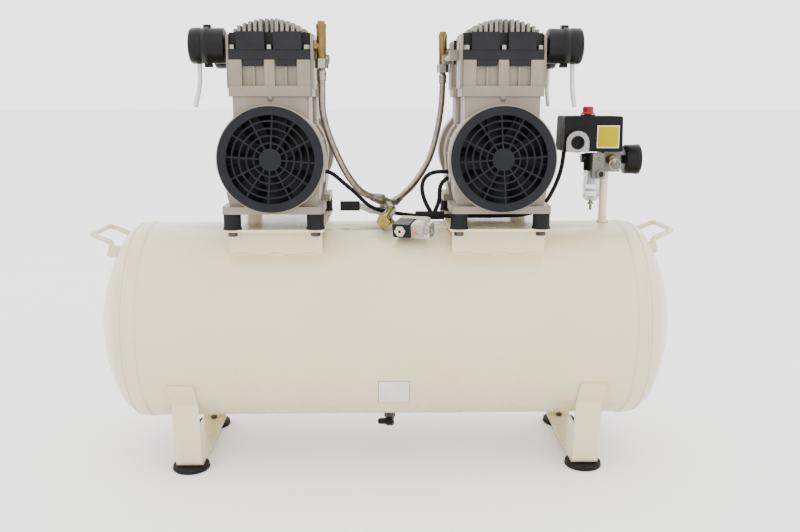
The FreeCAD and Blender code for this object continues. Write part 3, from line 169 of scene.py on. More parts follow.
def tank_paint():
    """Off-white gloss powder coat with a faint orange peel."""
    paint = Finish("tank_paint", roughness=0.3, Coat_Weight=0.3, Coat_Roughness=0.15)
    cloud = paint.noise(7, 3)
    speck = paint.noise(900, 2)
    tone = paint.blend(paint.spread(cloud, 0.3, 0.7, 0, 1), (0.64, 0.550, 0.345, 1), (0.60, 0.515, 0.315, 1))
    paint.colour(paint.blend(paint.spread(speck, 0.68, 0.8, 0, 0.25), tone, (0.44, 0.39, 0.28, 1)))
    paint.gloss(paint.spread(paint.noise(40, 4), 0.3, 0.7, 0.24, 0.36))
    paint.height(paint.noise(420, 2, 0.4), 0.00012, 0.35)
    paint.height(paint.noise(28, 2, 0.4), 0.0002, 0.05)
    return paint.done(edge=0.0008)


def painted_pocket_shade(finish):
    """1 within the pumps' fan pockets and crank rooms, where the metal is darkened with painted shade, else
    0.
    """
    across = finish.maths("SUBTRACT", finish.maths("ABSOLUTE", finish.axis("X")), PUMP_X)
    up = finish.maths("SUBTRACT", finish.axis("Z"), SHAFT_Z)
    square = finish.maths("ADD", finish.maths("MULTIPLY", across, across), finish.maths("MULTIPLY", up, up))
    depth = finish.maths("ABSOLUTE", finish.axis("Y"))
    crank_room_radius, fan_pocket_radius = 51.5 * MM, 76.4 * MM
    limit = finish.spread(depth, 98.9 * MM, 99.1 * MM, crank_room_radius, fan_pocket_radius)
    outside = finish.maths("SUBTRACT", finish.maths("SQRT", square), limit)
    near = finish.spread(outside, -0.3 * MM, 0.3 * MM, 1, 0)
    deep = finish.spread(depth, 130 * MM, 138 * MM, 1, 0)
    return finish.maths("MULTIPLY", near, deep)


def cast_paint(name, light, dark, metallic, shaded=False):
    """Die-cast aluminium under satin silver-grey paint; where shaded, the pumps' pockets get painted shade.
    """
    cast = Finish(name, roughness=0.46, metallic=metallic)
    cloud = cast.noise(22, 4)
    grain = cast.noise(1100, 3, 0.6)
    tone = cast.blend(cast.spread(cloud, 0.3, 0.7, 0, 1), light, dark)
    tone = cast.blend(cast.spread(grain, 0.35, 0.75, 0, 0.3), tone,
                      tuple(0.4 * value for value in dark[:3]) + (1,))
    if shaded:
        # painted shade: the pumps' fan pockets and crank rooms are painted near black
        tone = cast.blend(painted_pocket_shade(cast), tone, (0.012, 0.012, 0.013, 1))
    cast.colour(tone)
    cast.gloss(cast.spread(cast.noise(60, 3), 0.3, 0.7, 0.38, 0.54))
    cast.height(grain, 0.00018, 0.5)
    cast.height(cast.noise(260, 2), 0.0003, 0.25)
    return cast.done(edge=0.0009)


def head_paint():
    """Satin black castings whose fin tops are bare aluminium."""
    head = Finish("head_black", roughness=0.45, Specular_IOR_Level=0.2)
    bare_from = 692.4 * MM
    ragged = head.maths("ADD", head.axis("Z"), head.spread(head.noise(300, 3), 0.2, 0.8, -0.0004, 0.0004))
    bare = head.spread(ragged, bare_from, bare_from + 0.4 * MM, 0, 1)
    grain = head.noise(1000, 3, 0.6)
    black = head.blend(head.spread(head.noise(35, 3), 0.3, 0.7, 0, 1), (0.004, 0.004, 0.0048, 1),
                       (0.007, 0.007, 0.008, 1))
    silver = head.blend(head.spread(head.noise(400, 3), 0.3, 0.7, 0, 1), (0.21, 0.20, 0.165, 1),
                        (0.13, 0.123, 0.10, 1))
    head.colour(head.blend(bare, black, silver))
    head.metal(head.spread(bare, 0, 1, 0.0, 0.35))
    head.gloss(head.spread(head.noise(80, 3), 0.3, 0.7, 0.4, 0.55))
    head.height(grain, 0.00018, 0.5)
    return head.done(edge=0.0007)


def plastic(name, light, dark, roughness=(0.35, 0.5), texture=0.25, edge=0.0006, **sockets):
    """Moulded plastic with a fine spark-eroded texture."""
    moulded = Finish(name, **sockets)
    moulded.colour(moulded.blend(moulded.spread(moulded.noise(30, 3), 0.3, 0.7, 0, 1), light, dark))
    moulded.gloss(moulded.spread(moulded.noise(90, 3), 0.3, 0.7, *roughness))
    moulded.height(moulded.noise(1600, 2), 0.0001, texture)
    return moulded.done(edge=edge)


def rubber(name, light, dark):
    soft = Finish(name, roughness=0.7, Specular_IOR_Level=0.15)
    dust = soft.noise(140, 4, 0.7)
    tone = soft.blend(soft.spread(soft.noise(25, 3), 0.3, 0.7, 0, 1), light, dark)
    soft.colour(soft.blend(soft.spread(dust, 0.55, 0.75, 0, 0.25), tone, (0.022, 0.021, 0.020, 1)))
    soft.gloss(soft.spread(dust, 0.3, 0.7, 0.55, 0.78))
    soft.height(soft.noise(700, 3), 0.00015, 0.4)
    return soft.done(edge=0.0008)


def metal(name, light, dark, roughness=(0.22, 0.38), scratch=(40, 40, 900), edge=0.0004, metallic=1.0):
    """Machined or plated metal with fine tool marks and slight tarnish."""
    bare = Finish(name, metallic=metallic)
    tarnish = bare.noise(120, 4, 0.6)
    bare.colour(bare.blend(bare.spread(tarnish, 0.35, 0.7, 0, 1), light, dark))
    bare.gloss(bare.spread(bare.noise(200, 3), 0.3, 0.7, *roughness))
    bare.height(bare.noise(30, 2, 0.5, bare.stretched(scratch)), 0.00006, 0.5)
    return bare.done(edge=edge)


def laminated_steel():
    """Motor core plates: fine lines across the shaft's direction."""
    steel = Finish("laminations", metallic=0.9, roughness=0.5)
    wave = steel.node("ShaderNodeTexWave", bands_direction="Y")
    wave.inputs["Scale"].default_value = 320
    wave.inputs["Distortion"].default_value = 0.3
    steel.join(steel.coords(), wave.inputs["Vector"])
    steel.colour(steel.blend(wave.outputs["Fac"], (0.05, 0.048, 0.045, 1), (0.16, 0.155, 0.145, 1)))
    steel.height(wave.outputs["Fac"], 0.0002, 0.6)
    return steel.done()


def clear_plastic(name, tint, haze):
    """Clear moulded plastic; haze is its lowest and highest roughness."""
    clear = Finish(name, colour=tint, Transmission_Weight=0.9, IOR=1.45)
    clear.gloss(clear.spread(clear.noise(120, 3), 0.3, 0.7, *haze))
    clear.height(clear.noise(200, 2), 0.0002, 0.2)
    return clear.done()


def milky_plastic():
    """Translucent white tubing."""
    milk = Finish("milky_plastic", roughness=0.4, Subsurface_Weight=0.3, Subsurface_Scale=0.004)
    milk.colour(milk.blend(milk.spread(milk.noise(90, 3), 0.3, 0.7, 0, 1), (0.52, 0.53, 0.49, 1),
                           (0.42, 0.43, 0.39, 1)))
    milk.height(milk.noise(500, 2), 0.0001, 0.3)
    return milk.done()


def grey(value, warmth=1.0):
    """A grey, a little warm where warmth is over 1."""
    return (value * warmth, value, value / warmth, 1)


def make_materials():
    """Every material that the pieces and nodes use."""
    tank_paint()
    # the casting carries painted shade in the pumps' fan pockets and crank rooms
    cast_paint("casting", (0.225, 0.192, 0.145, 1), (0.185, 0.157, 0.115, 1), 0.35, shaded=True)
    cast_paint("grey_paint", (0.15, 0.144, 0.125, 1), (0.11, 0.105, 0.09, 1), 0.55)
    head_paint()
    plastic("black_plastic", grey(0.003), grey(0.005), (0.27, 0.4), Specular_IOR_Level=0.15)
    plastic("satin_plastic", grey(0.004), grey(0.006), (0.5, 0.65), Specular_IOR_Level=0.12)
    plastic("guard_plastic", (0.0048, 0.005, 0.0068, 1), (0.007, 0.0074, 0.0098, 1), (0.4, 0.55),
            Specular_IOR_Level=0.15)
    plastic("fan_plastic", grey(0.004), grey(0.006), (0.5, 0.65), Specular_IOR_Level=0.2)
    plastic("red_plastic", (0.27, 0.003, 0.010, 1), (0.22, 0.002, 0.008, 1), (0.35, 0.5),
            Specular_IOR_Level=0.2)
    plastic("cream_plastic", (0.50, 0.45, 0.34, 1), (0.42, 0.38, 0.28, 1), (0.35, 0.5))
    plastic("light_grey_plastic", grey(0.27, 1.06), grey(0.22, 1.06), (0.35, 0.5))
    plastic("yellow_label", (0.36, 0.29, 0.0, 1), (0.33, 0.265, 0.0, 1), (0.6, 0.7), 0.05, 0.0,
            Specular_IOR_Level=0.0)
    plastic("white_label", (0.62, 0.60, 0.55, 1), (0.57, 0.55, 0.50, 1), (0.4, 0.5), 0.05, 0.0)
    plastic("dial_white", (0.66, 0.66, 0.62, 1), (0.60, 0.60, 0.56, 1), (0.45, 0.55), 0.05, 0.0)
    plastic("black_ink", grey(0.01), grey(0.015), (0.4, 0.5), 0.05, 0.0)
    plastic("orange_plastic", (0.50, 0.14, 0.03, 1), (0.42, 0.11, 0.025, 1), (0.25, 0.35))
    rubber("rubber", grey(0.005, 0.96), grey(0.008, 0.96))
    rubber("cable_black", grey(0.004), grey(0.006))
    metal("brass", (0.20, 0.137, 0.042, 1), (0.13, 0.085, 0.024, 1), (0.28, 0.44))
    metal("pale_brass", (0.29, 0.22, 0.062, 1), (0.20, 0.15, 0.038, 1), (0.2, 0.34))
    metal("zinc_steel", (0.30, 0.285, 0.25, 1), (0.20, 0.19, 0.165, 1), (0.3, 0.45))
    metal("dark_steel", (0.075, 0.07, 0.062, 1), (0.045, 0.042, 0.037, 1), (0.35, 0.5))
    metal("bearing_steel", (0.5, 0.5, 0.49, 1), (0.38, 0.38, 0.37, 1), (0.15, 0.3))
    metal("braid_steel", (0.30, 0.265, 0.215, 1), (0.19, 0.168, 0.132, 1), (0.34, 0.5), (300, 300, 300), 0.0)
    laminated_steel()
    clear_plastic("clear_plastic", (0.86, 0.88, 0.88, 1), (0.06, 0.2))
    clear_plastic("lens_glass", (0.95, 0.96, 0.96, 1), (0.02, 0.05))
    milky_plastic()


NODE_FINISH = {
    "tank_shell": "tank_paint", "tank_heads": "tank_paint", "tank_legs": "tank_paint",
    "carry_handles": "tank_paint", "motor_brackets": "tank_paint", "tank_ports": "tank_paint",
    "foot_pads": "rubber", "rubber_mounts": "rubber", "cable_sleeve": "cable_black",
    "drain_valve": "dark_steel", "check_valve": "pale_brass", "safety_valve": "brass",
    "bowl_drain": "zinc_steel", "drain_lever": "black_plastic", "outlet_lever": "black_plastic",
    "intake_filters": "black_plastic", "solenoid_valve": "black_plastic", "switch_body": "satin_plastic",
    "filter_cap": "black_plastic", "pressure_gauge": "black_plastic", "fan_guards": "guard_plastic",
    "hex_bolts": "zinc_steel", "hose_fittings": "zinc_steel", "outlet_valve": "zinc_steel",
    "safety_pull": "zinc_steel", "gauge_needle": "black_ink", "shaft_bearings": "bearing_steel",
    "pistons": "casting", "crossover_tubes": "casting", "manifold": "grey_paint",
    "outlet_block": "grey_paint", "switch_knob": "red_plastic", "filter_bowl": "clear_plastic",
    "solenoid_plug": "clear_plastic", "gauge_lens": "lens_glass",
}
PUMP_FINISH = {
    "crankcase_front": "casting", "crankcase_rear": "casting", "cylinders": "casting", "stator": "casting",
    "heads": "head_black", "fans": "fan_plastic", "rotor": "laminations", "discharge_tee": "brass",
}


def repaint(node, finish, test):
    """Give a second material to the faces of a node whose middles pass the test."""
    node.data.materials.append(MATERIALS[finish])
    index = len(node.data.materials) - 1
    for face in node.data.polygons:
        if test(face.center / MM):
            face.material_index = index


def dress_nodes(nodes):
    """Give each CAD node its material, and different ones to the places that differ from it."""
    finishes = dict(NODE_FINISH)
    for part, finish in PUMP_FINISH.items():
        finishes.update({f"{part}_{side}": finish for side, _ in SIDES})
    for name, finish in finishes.items():
        nodes[name].data.materials.clear()
        nodes[name].data.materials.append(MATERIALS[finish])
        weld = nodes[name].modifiers.new("join_faces", "WELD")
        weld.merge_threshold = 0.000005
    under_mounts, grip_end, coil_back = 400, -45.9, 17.2
    repaint(nodes["hex_bolts"], "dark_steel", lambda at: at.z < under_mounts)
    repaint(nodes["outlet_lever"], "zinc_steel", lambda at: at.x > grip_end)
    solenoid = nodes["solenoid_valve"]
    repaint(solenoid, "cream_plastic", lambda at: on_solenoid(at).y > coil_back)
    repaint(solenoid, "cream_plastic", lambda at: solenoid_front(at) and from_stem(at) > STEM_RADIUS)
    repaint(solenoid, "black_ink", lambda at: solenoid_front(at) and from_stem(at) < STEM_RADIUS)


# ---------------------------------------------------------------- places

SOLENOID = (Matrix.Translation((27, -84, 394.5)) @ Matrix.Rotation(math.radians(-22), 4, "Z")
            @ Matrix.Rotation(math.radians(12), 4, "X"))
SOLENOID_BACK = SOLENOID.inverted()


COIL_FRONT = -13.05
STEM_AXIS = (-2, 0)
STEM_RADIUS = 2.5


def on_solenoid(at):
    """A place in the solenoid's own millimetres."""
    return SOLENOID_BACK @ at


def solenoid_front(at):
    """Whether a place lies in front of the coil's front face, on its nut or stem."""
    return on_solenoid(at).y < COIL_FRONT


def from_stem(at):
    """A place's distance from the axis of the coil's stem."""
    return math.dist(on_solenoid(at).xz, STEM_AXIS)


# ---------------------------------------------------------------- mesh helpers


def add_mesh(name, vertices, faces, finish, body="tank_frame", smooth=True):
    mesh = bpy.data.meshes.new(name)
    mesh.from_pydata(vertices, [], faces)
    mesh.validate()
    mesh.materials.append(MATERIALS[finish])
    if smooth:
        mesh.shade_smooth()
    piece = bpy.data.objects.new(name, mesh)
    bpy.context.scene.collection.objects.link(piece)
    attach(piece, body)
    return piece


def frames_along(points):
    """For each point of a line, its tangent and two normals that turn as little as possible."""
    tangents = []
    for index in range(len(points)):
        before = points[max(index - 1, 0)]
        after = points[min(index + 1, len(points) - 1)]
        tangents.append((after - before).normalized())
    side = tangents[0].orthogonal().normalized()
    frames = []
    for tangent in tangents:
        side = (side - tangent * side.dot(tangent)).normalized()
        frames.append((tangent, side, tangent.cross(side)))
    return frames


def nurbs_line(name, route):
    """A curve whose control points are the route's, in millimetres."""
    curve = bpy.data.curves.new(name, "CURVE")
    curve.dimensions = "3D"
    spline = curve.splines.new("NURBS")
    spline.points.add(len(route) - 1)
    for point, place in zip(spline.points, route):
        point.co = (*(Vector(place) * MM), 1)
    spline.order_u = 3
    spline.use_endpoint_u = True
    spline.resolution_u = 12
    curve.resolution_u = 12
    return curve


def line_points(curve):
    """Points along a curve that has no bevel."""
    holder = bpy.data.objects.new("line_reader", curve)
    bpy.context.scene.collection.objects.link(holder)
    bpy.context.view_layer.update()
    mesh = bpy.data.meshes.new_from_object(holder.evaluated_get(bpy.context.evaluated_depsgraph_get()))
    points = [vertex.co.copy() for vertex in mesh.vertices]
    bpy.data.meshes.remove(mesh)
    bpy.data.objects.remove(holder)
    return points


def evenly(points, count):
    """count points a constant distance apart along a line."""
    lengths = [0.0]
    for before, after in zip(points, points[1:]):
        lengths.append(lengths[-1] + (after - before).length)
    placed = []
    at = 0
    for index in range(count):
        want = lengths[-1] * index / (count - 1)
        while at < len(points) - 2 and lengths[at + 1] < want:
            at += 1
        span = lengths[at + 1] - lengths[at]
        placed.append(points[at].lerp(points[at + 1], (want - lengths[at]) / span))
    return placed, lengths[-1]


def tube_mesh(points, radius, sides, groove=None):
    """A closed tube's vertices and faces; groove gives its cut's depth from a ring's number and an angle."""
    vertices = []
    faces = []
    for ring, (point, (_, side, up)) in enumerate(zip(points, frames_along(points))):
        for step in range(sides):
            angle = 2 * math.pi * step / sides
            reach = radius - groove(ring, angle) if groove else radius
            vertices.append(point + (side * math.cos(angle) + up * math.sin(angle)) * reach)
    for ring in range(len(points) - 1):
        for step in range(sides):
            a = ring * sides + step
            b = ring * sides + (step + 1) % sides
            faces.append((a, b, b + sides, a + sides))
    last = (len(points) - 1) * sides
    faces.append(tuple(reversed(range(sides))))
    faces.append(tuple(range(last, last + sides)))
    return vertices, faces


# ---------------------------------------------------------------- cords

HOSE_LEFT = [
    (-98, -98, 631), (-98.2, -98, 606), (-98.8, -96, 578), (-92, -89, 546), (-80, -78, 514),
    (-67, -65, 484), (-51, -50.5, 458), (-34.5, -36, 441.5), (-14, -20.5, 434.7),
]
HOSE_RIGHT = [
    (98, 98, 631), (97.8, 98, 606), (95.5, 95.5, 578), (90.5, 89.5, 548), (83.5, 80, 520),
    (74.5, 67.5, 494), (61, 51, 472), (44, 31, 451), (28, 13, 438), (18, 3, 430.5),
]
TUBE_LEFT = [(-281, -98, 646.2), (-281, -98, 630), (-282.5, -98, 612), (-286, -98.5, 596), (-290, -99.5, 583)]
TUBE_RIGHT = [(281, -98, 646.2), (281, -98, 630), (281.8, -98, 612), (284, -98.5, 596), (286.5, -99.5, 583)]
TUBE_REAR = [(281, 98, 646.2), (281, 98, 630), (280.4, 98.3, 612), (281.6, 98.6, 596), (284, 99.5, 583)]
CABLE_LEFT = [
    (-103.5, 8, 478), (-93, 8.4, 475.5), (-82, 10.3, 466.5), (-66, 13, 452), (-50, 14, 438.5),
    (-37, 15, 424), (-23, 15, 414.5), (-5, 15, 409), (14, 12, 406.5), (32, 2, 405), (47, -7, 404.8),
]
CABLE_RIGHT = [
    (95, -12, 404.5), (115, -12, 404.5), (150, -11.5, 404.2), (190, -12.5, 404.6), (225, -11.6, 405.5),
    (250, -12, 412), (265, -12, 428), (276, -11, 448), (285, -10.5, 470), (290, -10, 492),
    (291.5, -10, 511.5),
]
LOOP_LEFT = [
    (103.5, 22, 475), (92, 21.5, 475.4), (80, 20.5, 474.5), (68.5, 19, 470), (61, 16, 461),
    (58.6, 11.5, 448.5), (61, 4.5, 434.5), (66.5, -4, 421), (72.5, -9.5, 411.5),
]
LOOP_RIGHT = [
    (103.5, 17, 466), (95.5, 16.5, 460.5), (89.5, 14.5, 451), (88.5, 10.5, 441.5), (88, 4, 431),
    (84.5, -4, 420.5), (79.5, -10.5, 411.5),
]


def cable(node, route, diameter, finish):
    """A plain sheathed cable or tube in place of its CAD node."""
    curve = nurbs_line(f"{node}_line", route)
    length = evenly(line_points(curve), 2)[1]
    curve.bevel_depth = diameter / 2
    curve.bevel_resolution = 6
    curve.use_fill_caps = True
    curve.materials.append(MATERIALS[finish])
    piece = bpy.data.objects.new(f"{node}_looks", curve)
    bpy.context.scene.collection.objects.link(piece)
    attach(piece, "tank_frame")
    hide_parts(node)
    return piece


FILTER_TUBE_DIAMETER = 7.2 * MM
WRAP_PITCH = 6.5 * MM
WRAP_GROOVE = 0.55 * MM
WRAP_RINGS_PER_TURN = 8
WRAP_SIDES = 20


def wrapped_cable(node, route, diameter):
    """Wires bundled under black spiral wrap, in place of their CAD node."""
    line = line_points(nurbs_line(f"{node}_line", route))
    count = int(evenly(line, 2)[1] / WRAP_PITCH * WRAP_RINGS_PER_TURN)
    points, length = evenly(line, count)

    def groove(ring, angle):
        turn = ring / WRAP_RINGS_PER_TURN - angle / (2 * math.pi)
        return WRAP_GROOVE * max(0, math.cos(2 * math.pi * turn)) ** 3 if 0 < ring < count - 1 else 0

    vertices, faces = tube_mesh(points, diameter / 2, WRAP_SIDES, groove)
    piece = add_mesh(f"{node}_wrap", vertices, faces, "cable_black")
    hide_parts(node)
    return piece


BRAID_STRANDS = 12
BRAID_PITCH = 24 * MM
STRAND_COVER = 0.46
STRAND_SECTION = ((-1, -0.08 * MM), (-0.45, 0.1 * MM), (0.45, 0.1 * MM), (1, -0.08 * MM))
WEAVE_HEIGHT = 0.18 * MM
LINER_DEPTH = 0.75 * MM
STRAND_DEPTH = 0.32 * MM
HOSE_DIAMETER = 11 * MM
HOSE_RINGS = 260
HOSE_SIDES = 24


def braided_hose(node, route):
    """A rubber hose under a woven sleeve of flat wire strands, in place of its CAD node."""
    points, length = evenly(line_points(nurbs_line(f"{node}_line", route)), HOSE_RINGS)
    frames = frames_along(points)
    inner = HOSE_DIAMETER / 2 - LINER_DEPTH
    vertices, faces = tube_mesh(points, inner, HOSE_SIDES)
    liner_faces = len(faces)
    turns = length / BRAID_PITCH
    half_width = 2 * math.pi * inner / BRAID_STRANDS * STRAND_COVER
    middle = HOSE_DIAMETER / 2 - STRAND_DEPTH
    for direction in (-1, 1):
        for strand in range(BRAID_STRANDS):
            first = len(vertices)
            for index, (point, (tangent, side, up)) in enumerate(zip(points, frames)):
                share = index / (HOSE_RINGS - 1)
                turn = direction * 2 * math.pi * turns * share + 2 * math.pi * strand / BRAID_STRANDS
                weave = math.cos(BRAID_STRANDS * (turn - direction * math.pi * strand / BRAID_STRANDS))
                radius = middle + direction * weave * WEAVE_HEIGHT
                at_end = index in (0, HOSE_RINGS - 1)
                for offset, lift in STRAND_SECTION:
                    angle = turn + offset * half_width / middle * 0.75
                    out = side * math.cos(angle) + up * math.sin(angle)
                    slide = tangent * (-direction * offset * half_width * 0.5)
                    vertices.append(point + out * (radius + lift) + slide * (0 if at_end else 1))
            for index in range(HOSE_RINGS - 1):
                for step in range(3):
                    a = first + index * 4 + step
                    faces.append((a, a + 1, a + 5, a + 4))
    piece = add_mesh(f"{node}_braid", vertices, faces, "braid_steel")
    piece.data.materials.append(MATERIALS["rubber"])
    for face in piece.data.polygons[:liner_faces]:
        face.material_index = 1
    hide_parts(node)
    return piece


def cords():
    braided_hose("hose_left", HOSE_LEFT)
    braided_hose("hose_right", HOSE_RIGHT)
    tubes = {"filter_tube_left": TUBE_LEFT, "filter_tube_right": TUBE_RIGHT, "filter_tube_rear": TUBE_REAR}
    for node, route in tubes.items():
        cable(node, route, FILTER_TUBE_DIAMETER, "milky_plastic")
    for node, route, diameter in (("cable_left", CABLE_LEFT, 7), ("cable_loop_left", LOOP_LEFT, 7.2),
                                  ("cable_loop_right", LOOP_RIGHT, 7.2)):
        wrapped_cable(node, route, diameter * MM)
    cable("cable_right", CABLE_RIGHT, 7 * MM, "cable_black")


# ---------------------------------------------------------------- small pieces


def rings_mesh(rings, closed=False):
    """Faces between rings of vertices, each ring a closed loop of the same length."""
    vertices = [place for ring in rings for place in ring]
    size = len(rings[0])
    faces = []
    for index in range(len(rings) if closed else len(rings) - 1):
        first, second = index * size, (index + 1) % len(rings) * size
        for step in range(size):
            after = (step + 1) % size
            faces.append((first + step, first + after, second + after, second + step))
    return vertices, faces


def lathe(name, profile, place, finish, body="tank_frame", sides=48):
    """A turned piece: profile is (radius, height) about Z of the matrix place, all in millimetres."""
    rings = []
    for radius, height in profile:
        rings.append([(place @ Vector((radius * math.cos(2 * math.pi * step / sides),
                                       radius * math.sin(2 * math.pi * step / sides), height))) * MM
                      for step in range(sides)])
    vertices, faces = rings_mesh(rings)
    return add_mesh(name, vertices, faces, finish, body)


def soft_box(name, low, high, place, finish, radius=0.8, body="tank_frame"):
    """A box with rounded edges between two corners, in millimetres of the matrix place."""
    shape = bmesh.new()
    bmesh.ops.create_cube(shape, size=1)
    for vertex in shape.verts:
        vertex.co = Vector([low[i] + (vertex.co[i] + 0.5) * (high[i] - low[i]) for i in range(3)])
    bmesh.ops.bevel(shape, geom=shape.edges[:], offset=radius, segments=3, profile=0.5, affect="EDGES")
    vertices = [(place @ vertex.co) * MM for vertex in shape.verts]
    faces = [[vertex.index for vertex in face.verts] for face in shape.faces]
    shape.free()
    return add_mesh(name, vertices, faces, finish, body)


def weld_bead(name, points, radius, normal):
    """A lumpy painted weld bead along points in millimetres, sunk halfway into the metal under it."""
    steps = [Vector(point) for point in points]
    spacing = 1.1
    dense, _ = evenly(steps, max(8, int(length_of(steps) / spacing)))
    normal = Vector(normal).normalized()
    sides = 9
    rings = []
    for index, (point, (tangent, _, _)) in enumerate(zip(dense, frames_along(dense))):
        side = tangent.cross(normal).normalized()
        share = index / (len(dense) - 1)
        taper = min(1, 6 * min(share, 1 - share) + 0.35)
        swell = radius * taper * (1 + 0.13 * math.sin(index * 1.9) + 0.07 * math.sin(index * 0.83 + 1))
        rings.append([(point + (side * math.cos(angle) * 1.25 + normal * math.sin(angle) * 0.8) * swell) * MM
                      for angle in (2 * math.pi * step / sides for step in range(sides))])
    vertices, faces = rings_mesh(rings)
    faces.append(tuple(reversed(range(sides))))
    faces.append(tuple(range(len(vertices) - sides, len(vertices))))
    return add_mesh(name, vertices, faces, "tank_paint")


def length_of(points):
    return sum((after - before).length for before, after in zip(points, points[1:]))


def on_shell(x, angle, out=0.0):
    """A place in millimetres on the tank's shell; angle is in degrees up from the front."""
    turn = math.radians(angle)
    reach = TANK_RADIUS_MM + out
    return Vector((x, -reach * math.cos(turn), TANK_AXIS_MM + reach * math.sin(turn)))


def shell_label(name, x, angle, finish, out):
    """A thin label that lies on the tank's shell between two places along it and two angles."""
    columns, rows = 12, 16
    vertices = []
    for layer in (out, 0.02):
        for row in range(rows + 1):
            for column in range(columns + 1):
                vertices.append(on_shell(x[0] + (x[1] - x[0]) * column / columns,
                                         angle[0] + (angle[1] - angle[0]) * row / rows, layer) * MM)
    faces = []
    under = (rows + 1) * (columns + 1)
    for row in range(rows):
        for column in range(columns):
            a = row * (columns + 1) + column
            faces.append((a, a + 1, a + columns + 2, a + columns + 1))
            faces.append((a + under, a + under + columns + 1, a + under + columns + 2, a + under + 1))
    edge = ([column for column in range(columns)] + [row * (columns + 1) + columns for row in range(rows)]
            + [rows * (columns + 1) + column for column in range(columns, 0, -1)]
            + [row * (columns + 1) for row in range(rows, 0, -1)])
    for a, b in zip(edge, edge[1:] + edge[:1]):
        faces.append((a, a + under, b + under, b))
    return add_mesh(name, vertices, faces, finish, smooth=False)


def seam_ring(name, x, radius, lean):
    """A low painted ridge right round the tank; lean is how far its crest turns towards the tank's end."""
    crest = math.radians(lean)
    half_width, rise = 3.4, 1.1
    steps, corners = 240, 10
    rings = []
    for step in range(steps):
        turn = 2 * math.pi * step / steps
        ring = []
        for corner in range(corners):
            round_it = 2 * math.pi * corner / corners
            along, out = half_width * math.cos(round_it), rise * math.sin(round_it)
            reach = radius + out * math.cos(crest) - along * math.sin(crest)
            ring.append(Vector((math.copysign(abs(x) + along * math.cos(crest) + out * math.sin(crest), x),
                                reach * math.cos(turn), TANK_AXIS_MM + reach * math.sin(turn))) * MM)
        rings.append(ring)
    vertices, faces = rings_mesh(rings, closed=True)
    add_mesh(name, vertices, faces if x < 0 else [face[::-1] for face in faces], "tank_paint")


def tank_details():
    """The head seams, the weld beads and the blank labels on the tank."""
    for side, sign in SIDES:
        seam_ring(f"head_seam_{side}", sign * SEAM_X_MM, TANK_RADIUS_MM, 0)
        seam_ring(f"head_lip_{side}", sign * LIP_X_MM, LIP_RADIUS_MM, LIP_LEAN)
    flange = 102.8
    for side, sign in SIDES:
        for face, depth in (("front", -1), ("rear", 1)):
            y = depth * flange
            height = TANK_AXIS_MM + math.sqrt(TANK_RADIUS_MM ** 2 - y ** 2)
            for index, (start, end) in enumerate(((-68, -40), (-14, 14), (42, 69))):
                points = [(sign * PUMP_X_MM + start + (end - start) * step / 6, y + depth * 0.4, height + 0.3)
                          for step in range(7)]
                weld_bead(f"bracket_weld_{side}_{face}_{index}", points, 2.3, (0, depth, 0.55))
    shell_label("rating_label_edge", (-15.5, 34.5), (-43.5, -24), "black_ink", 0.12)
    shell_label("rating_label", (-14.7, 33.7), (-43.2, -24.3), "white_label", 0.2)


def solenoid_details():
    """The indicator, terminal block and screw that show through the clear plug."""
    soft_box("plug_terminal", (21, -6, -9), (34, 9, 5), SOLENOID, "cream_plastic", 1.0)
    soft_box("plug_clamp", (34.6, -7, -7), (40, 4, 2), SOLENOID, "zinc_steel", 0.8)
    turned = SOLENOID @ Matrix.Translation((20.5, -10.4, -3.5)) @ Matrix.Rotation(math.radians(90), 4, "X")
    lathe("plug_lamp", [(0, 1.5), (3.2, 1.4), (4.0, 0.9), (4.2, 0), (0, -0.1)], turned, "orange_plastic")


def switch_details():
    """The gland plate and grommet and the blank label of the pressure switch."""
    front = Matrix.Translation((308, -36, 526)) @ Matrix.Rotation(math.radians(90), 4, "X")
    sides = 72
    plate, flat_below, opening = 18.6, 14.6, 11.1
    outline = []
    bore = []
    for step in range(sides):
        angle = 2 * math.pi * step / sides
        across, up = math.cos(angle), math.sin(angle)
        reach = plate
        if up < 0:
            reach = min(plate / max(abs(across), 1e-6), flat_below / max(-up, 1e-6))
        outline.append((across * reach, up * reach))
        bore.append((opening * across, opening * up))
    loops = [(outline, 0.02), (outline, 0.7), ([(x * 0.985, y * 0.985) for x, y in outline], 1.0),
             (bore, 1.0), (bore, 0.02)]
    rings = [[(front @ Vector((x, y, height))) * MM for x, y in loop] for loop, height in loops]
    vertices, faces = rings_mesh(rings, closed=True)
    add_mesh("gland_plate", vertices, faces, "light_grey_plastic", smooth=False)
    lathe("cord_grommet", [(11.0, -6), (11.0, 1.0), (10.4, 2.0), (9.0, 2.3), (7.9, 1.7), (7.6, 0.6),
                           (7.6, -3), (5.2, -4), (0, -4.2)], front, "rubber")
    for name, inset, out, finish in (("switch_label_edge", 0, 0.18, "white_label"),
                                     ("switch_label", 1.6, 0.3, "yellow_label")):
        soft_box(name, (340.5 + inset, -30 - out, 517 + inset), (376.5 - inset, -29.9, 553 - inset),
                 Matrix.Identity(4), finish, 0.05)


DIAL_START = 225
DIAL_SWEEP = 270
DIAL_TICKS = 40
DIAL_TOP = 200


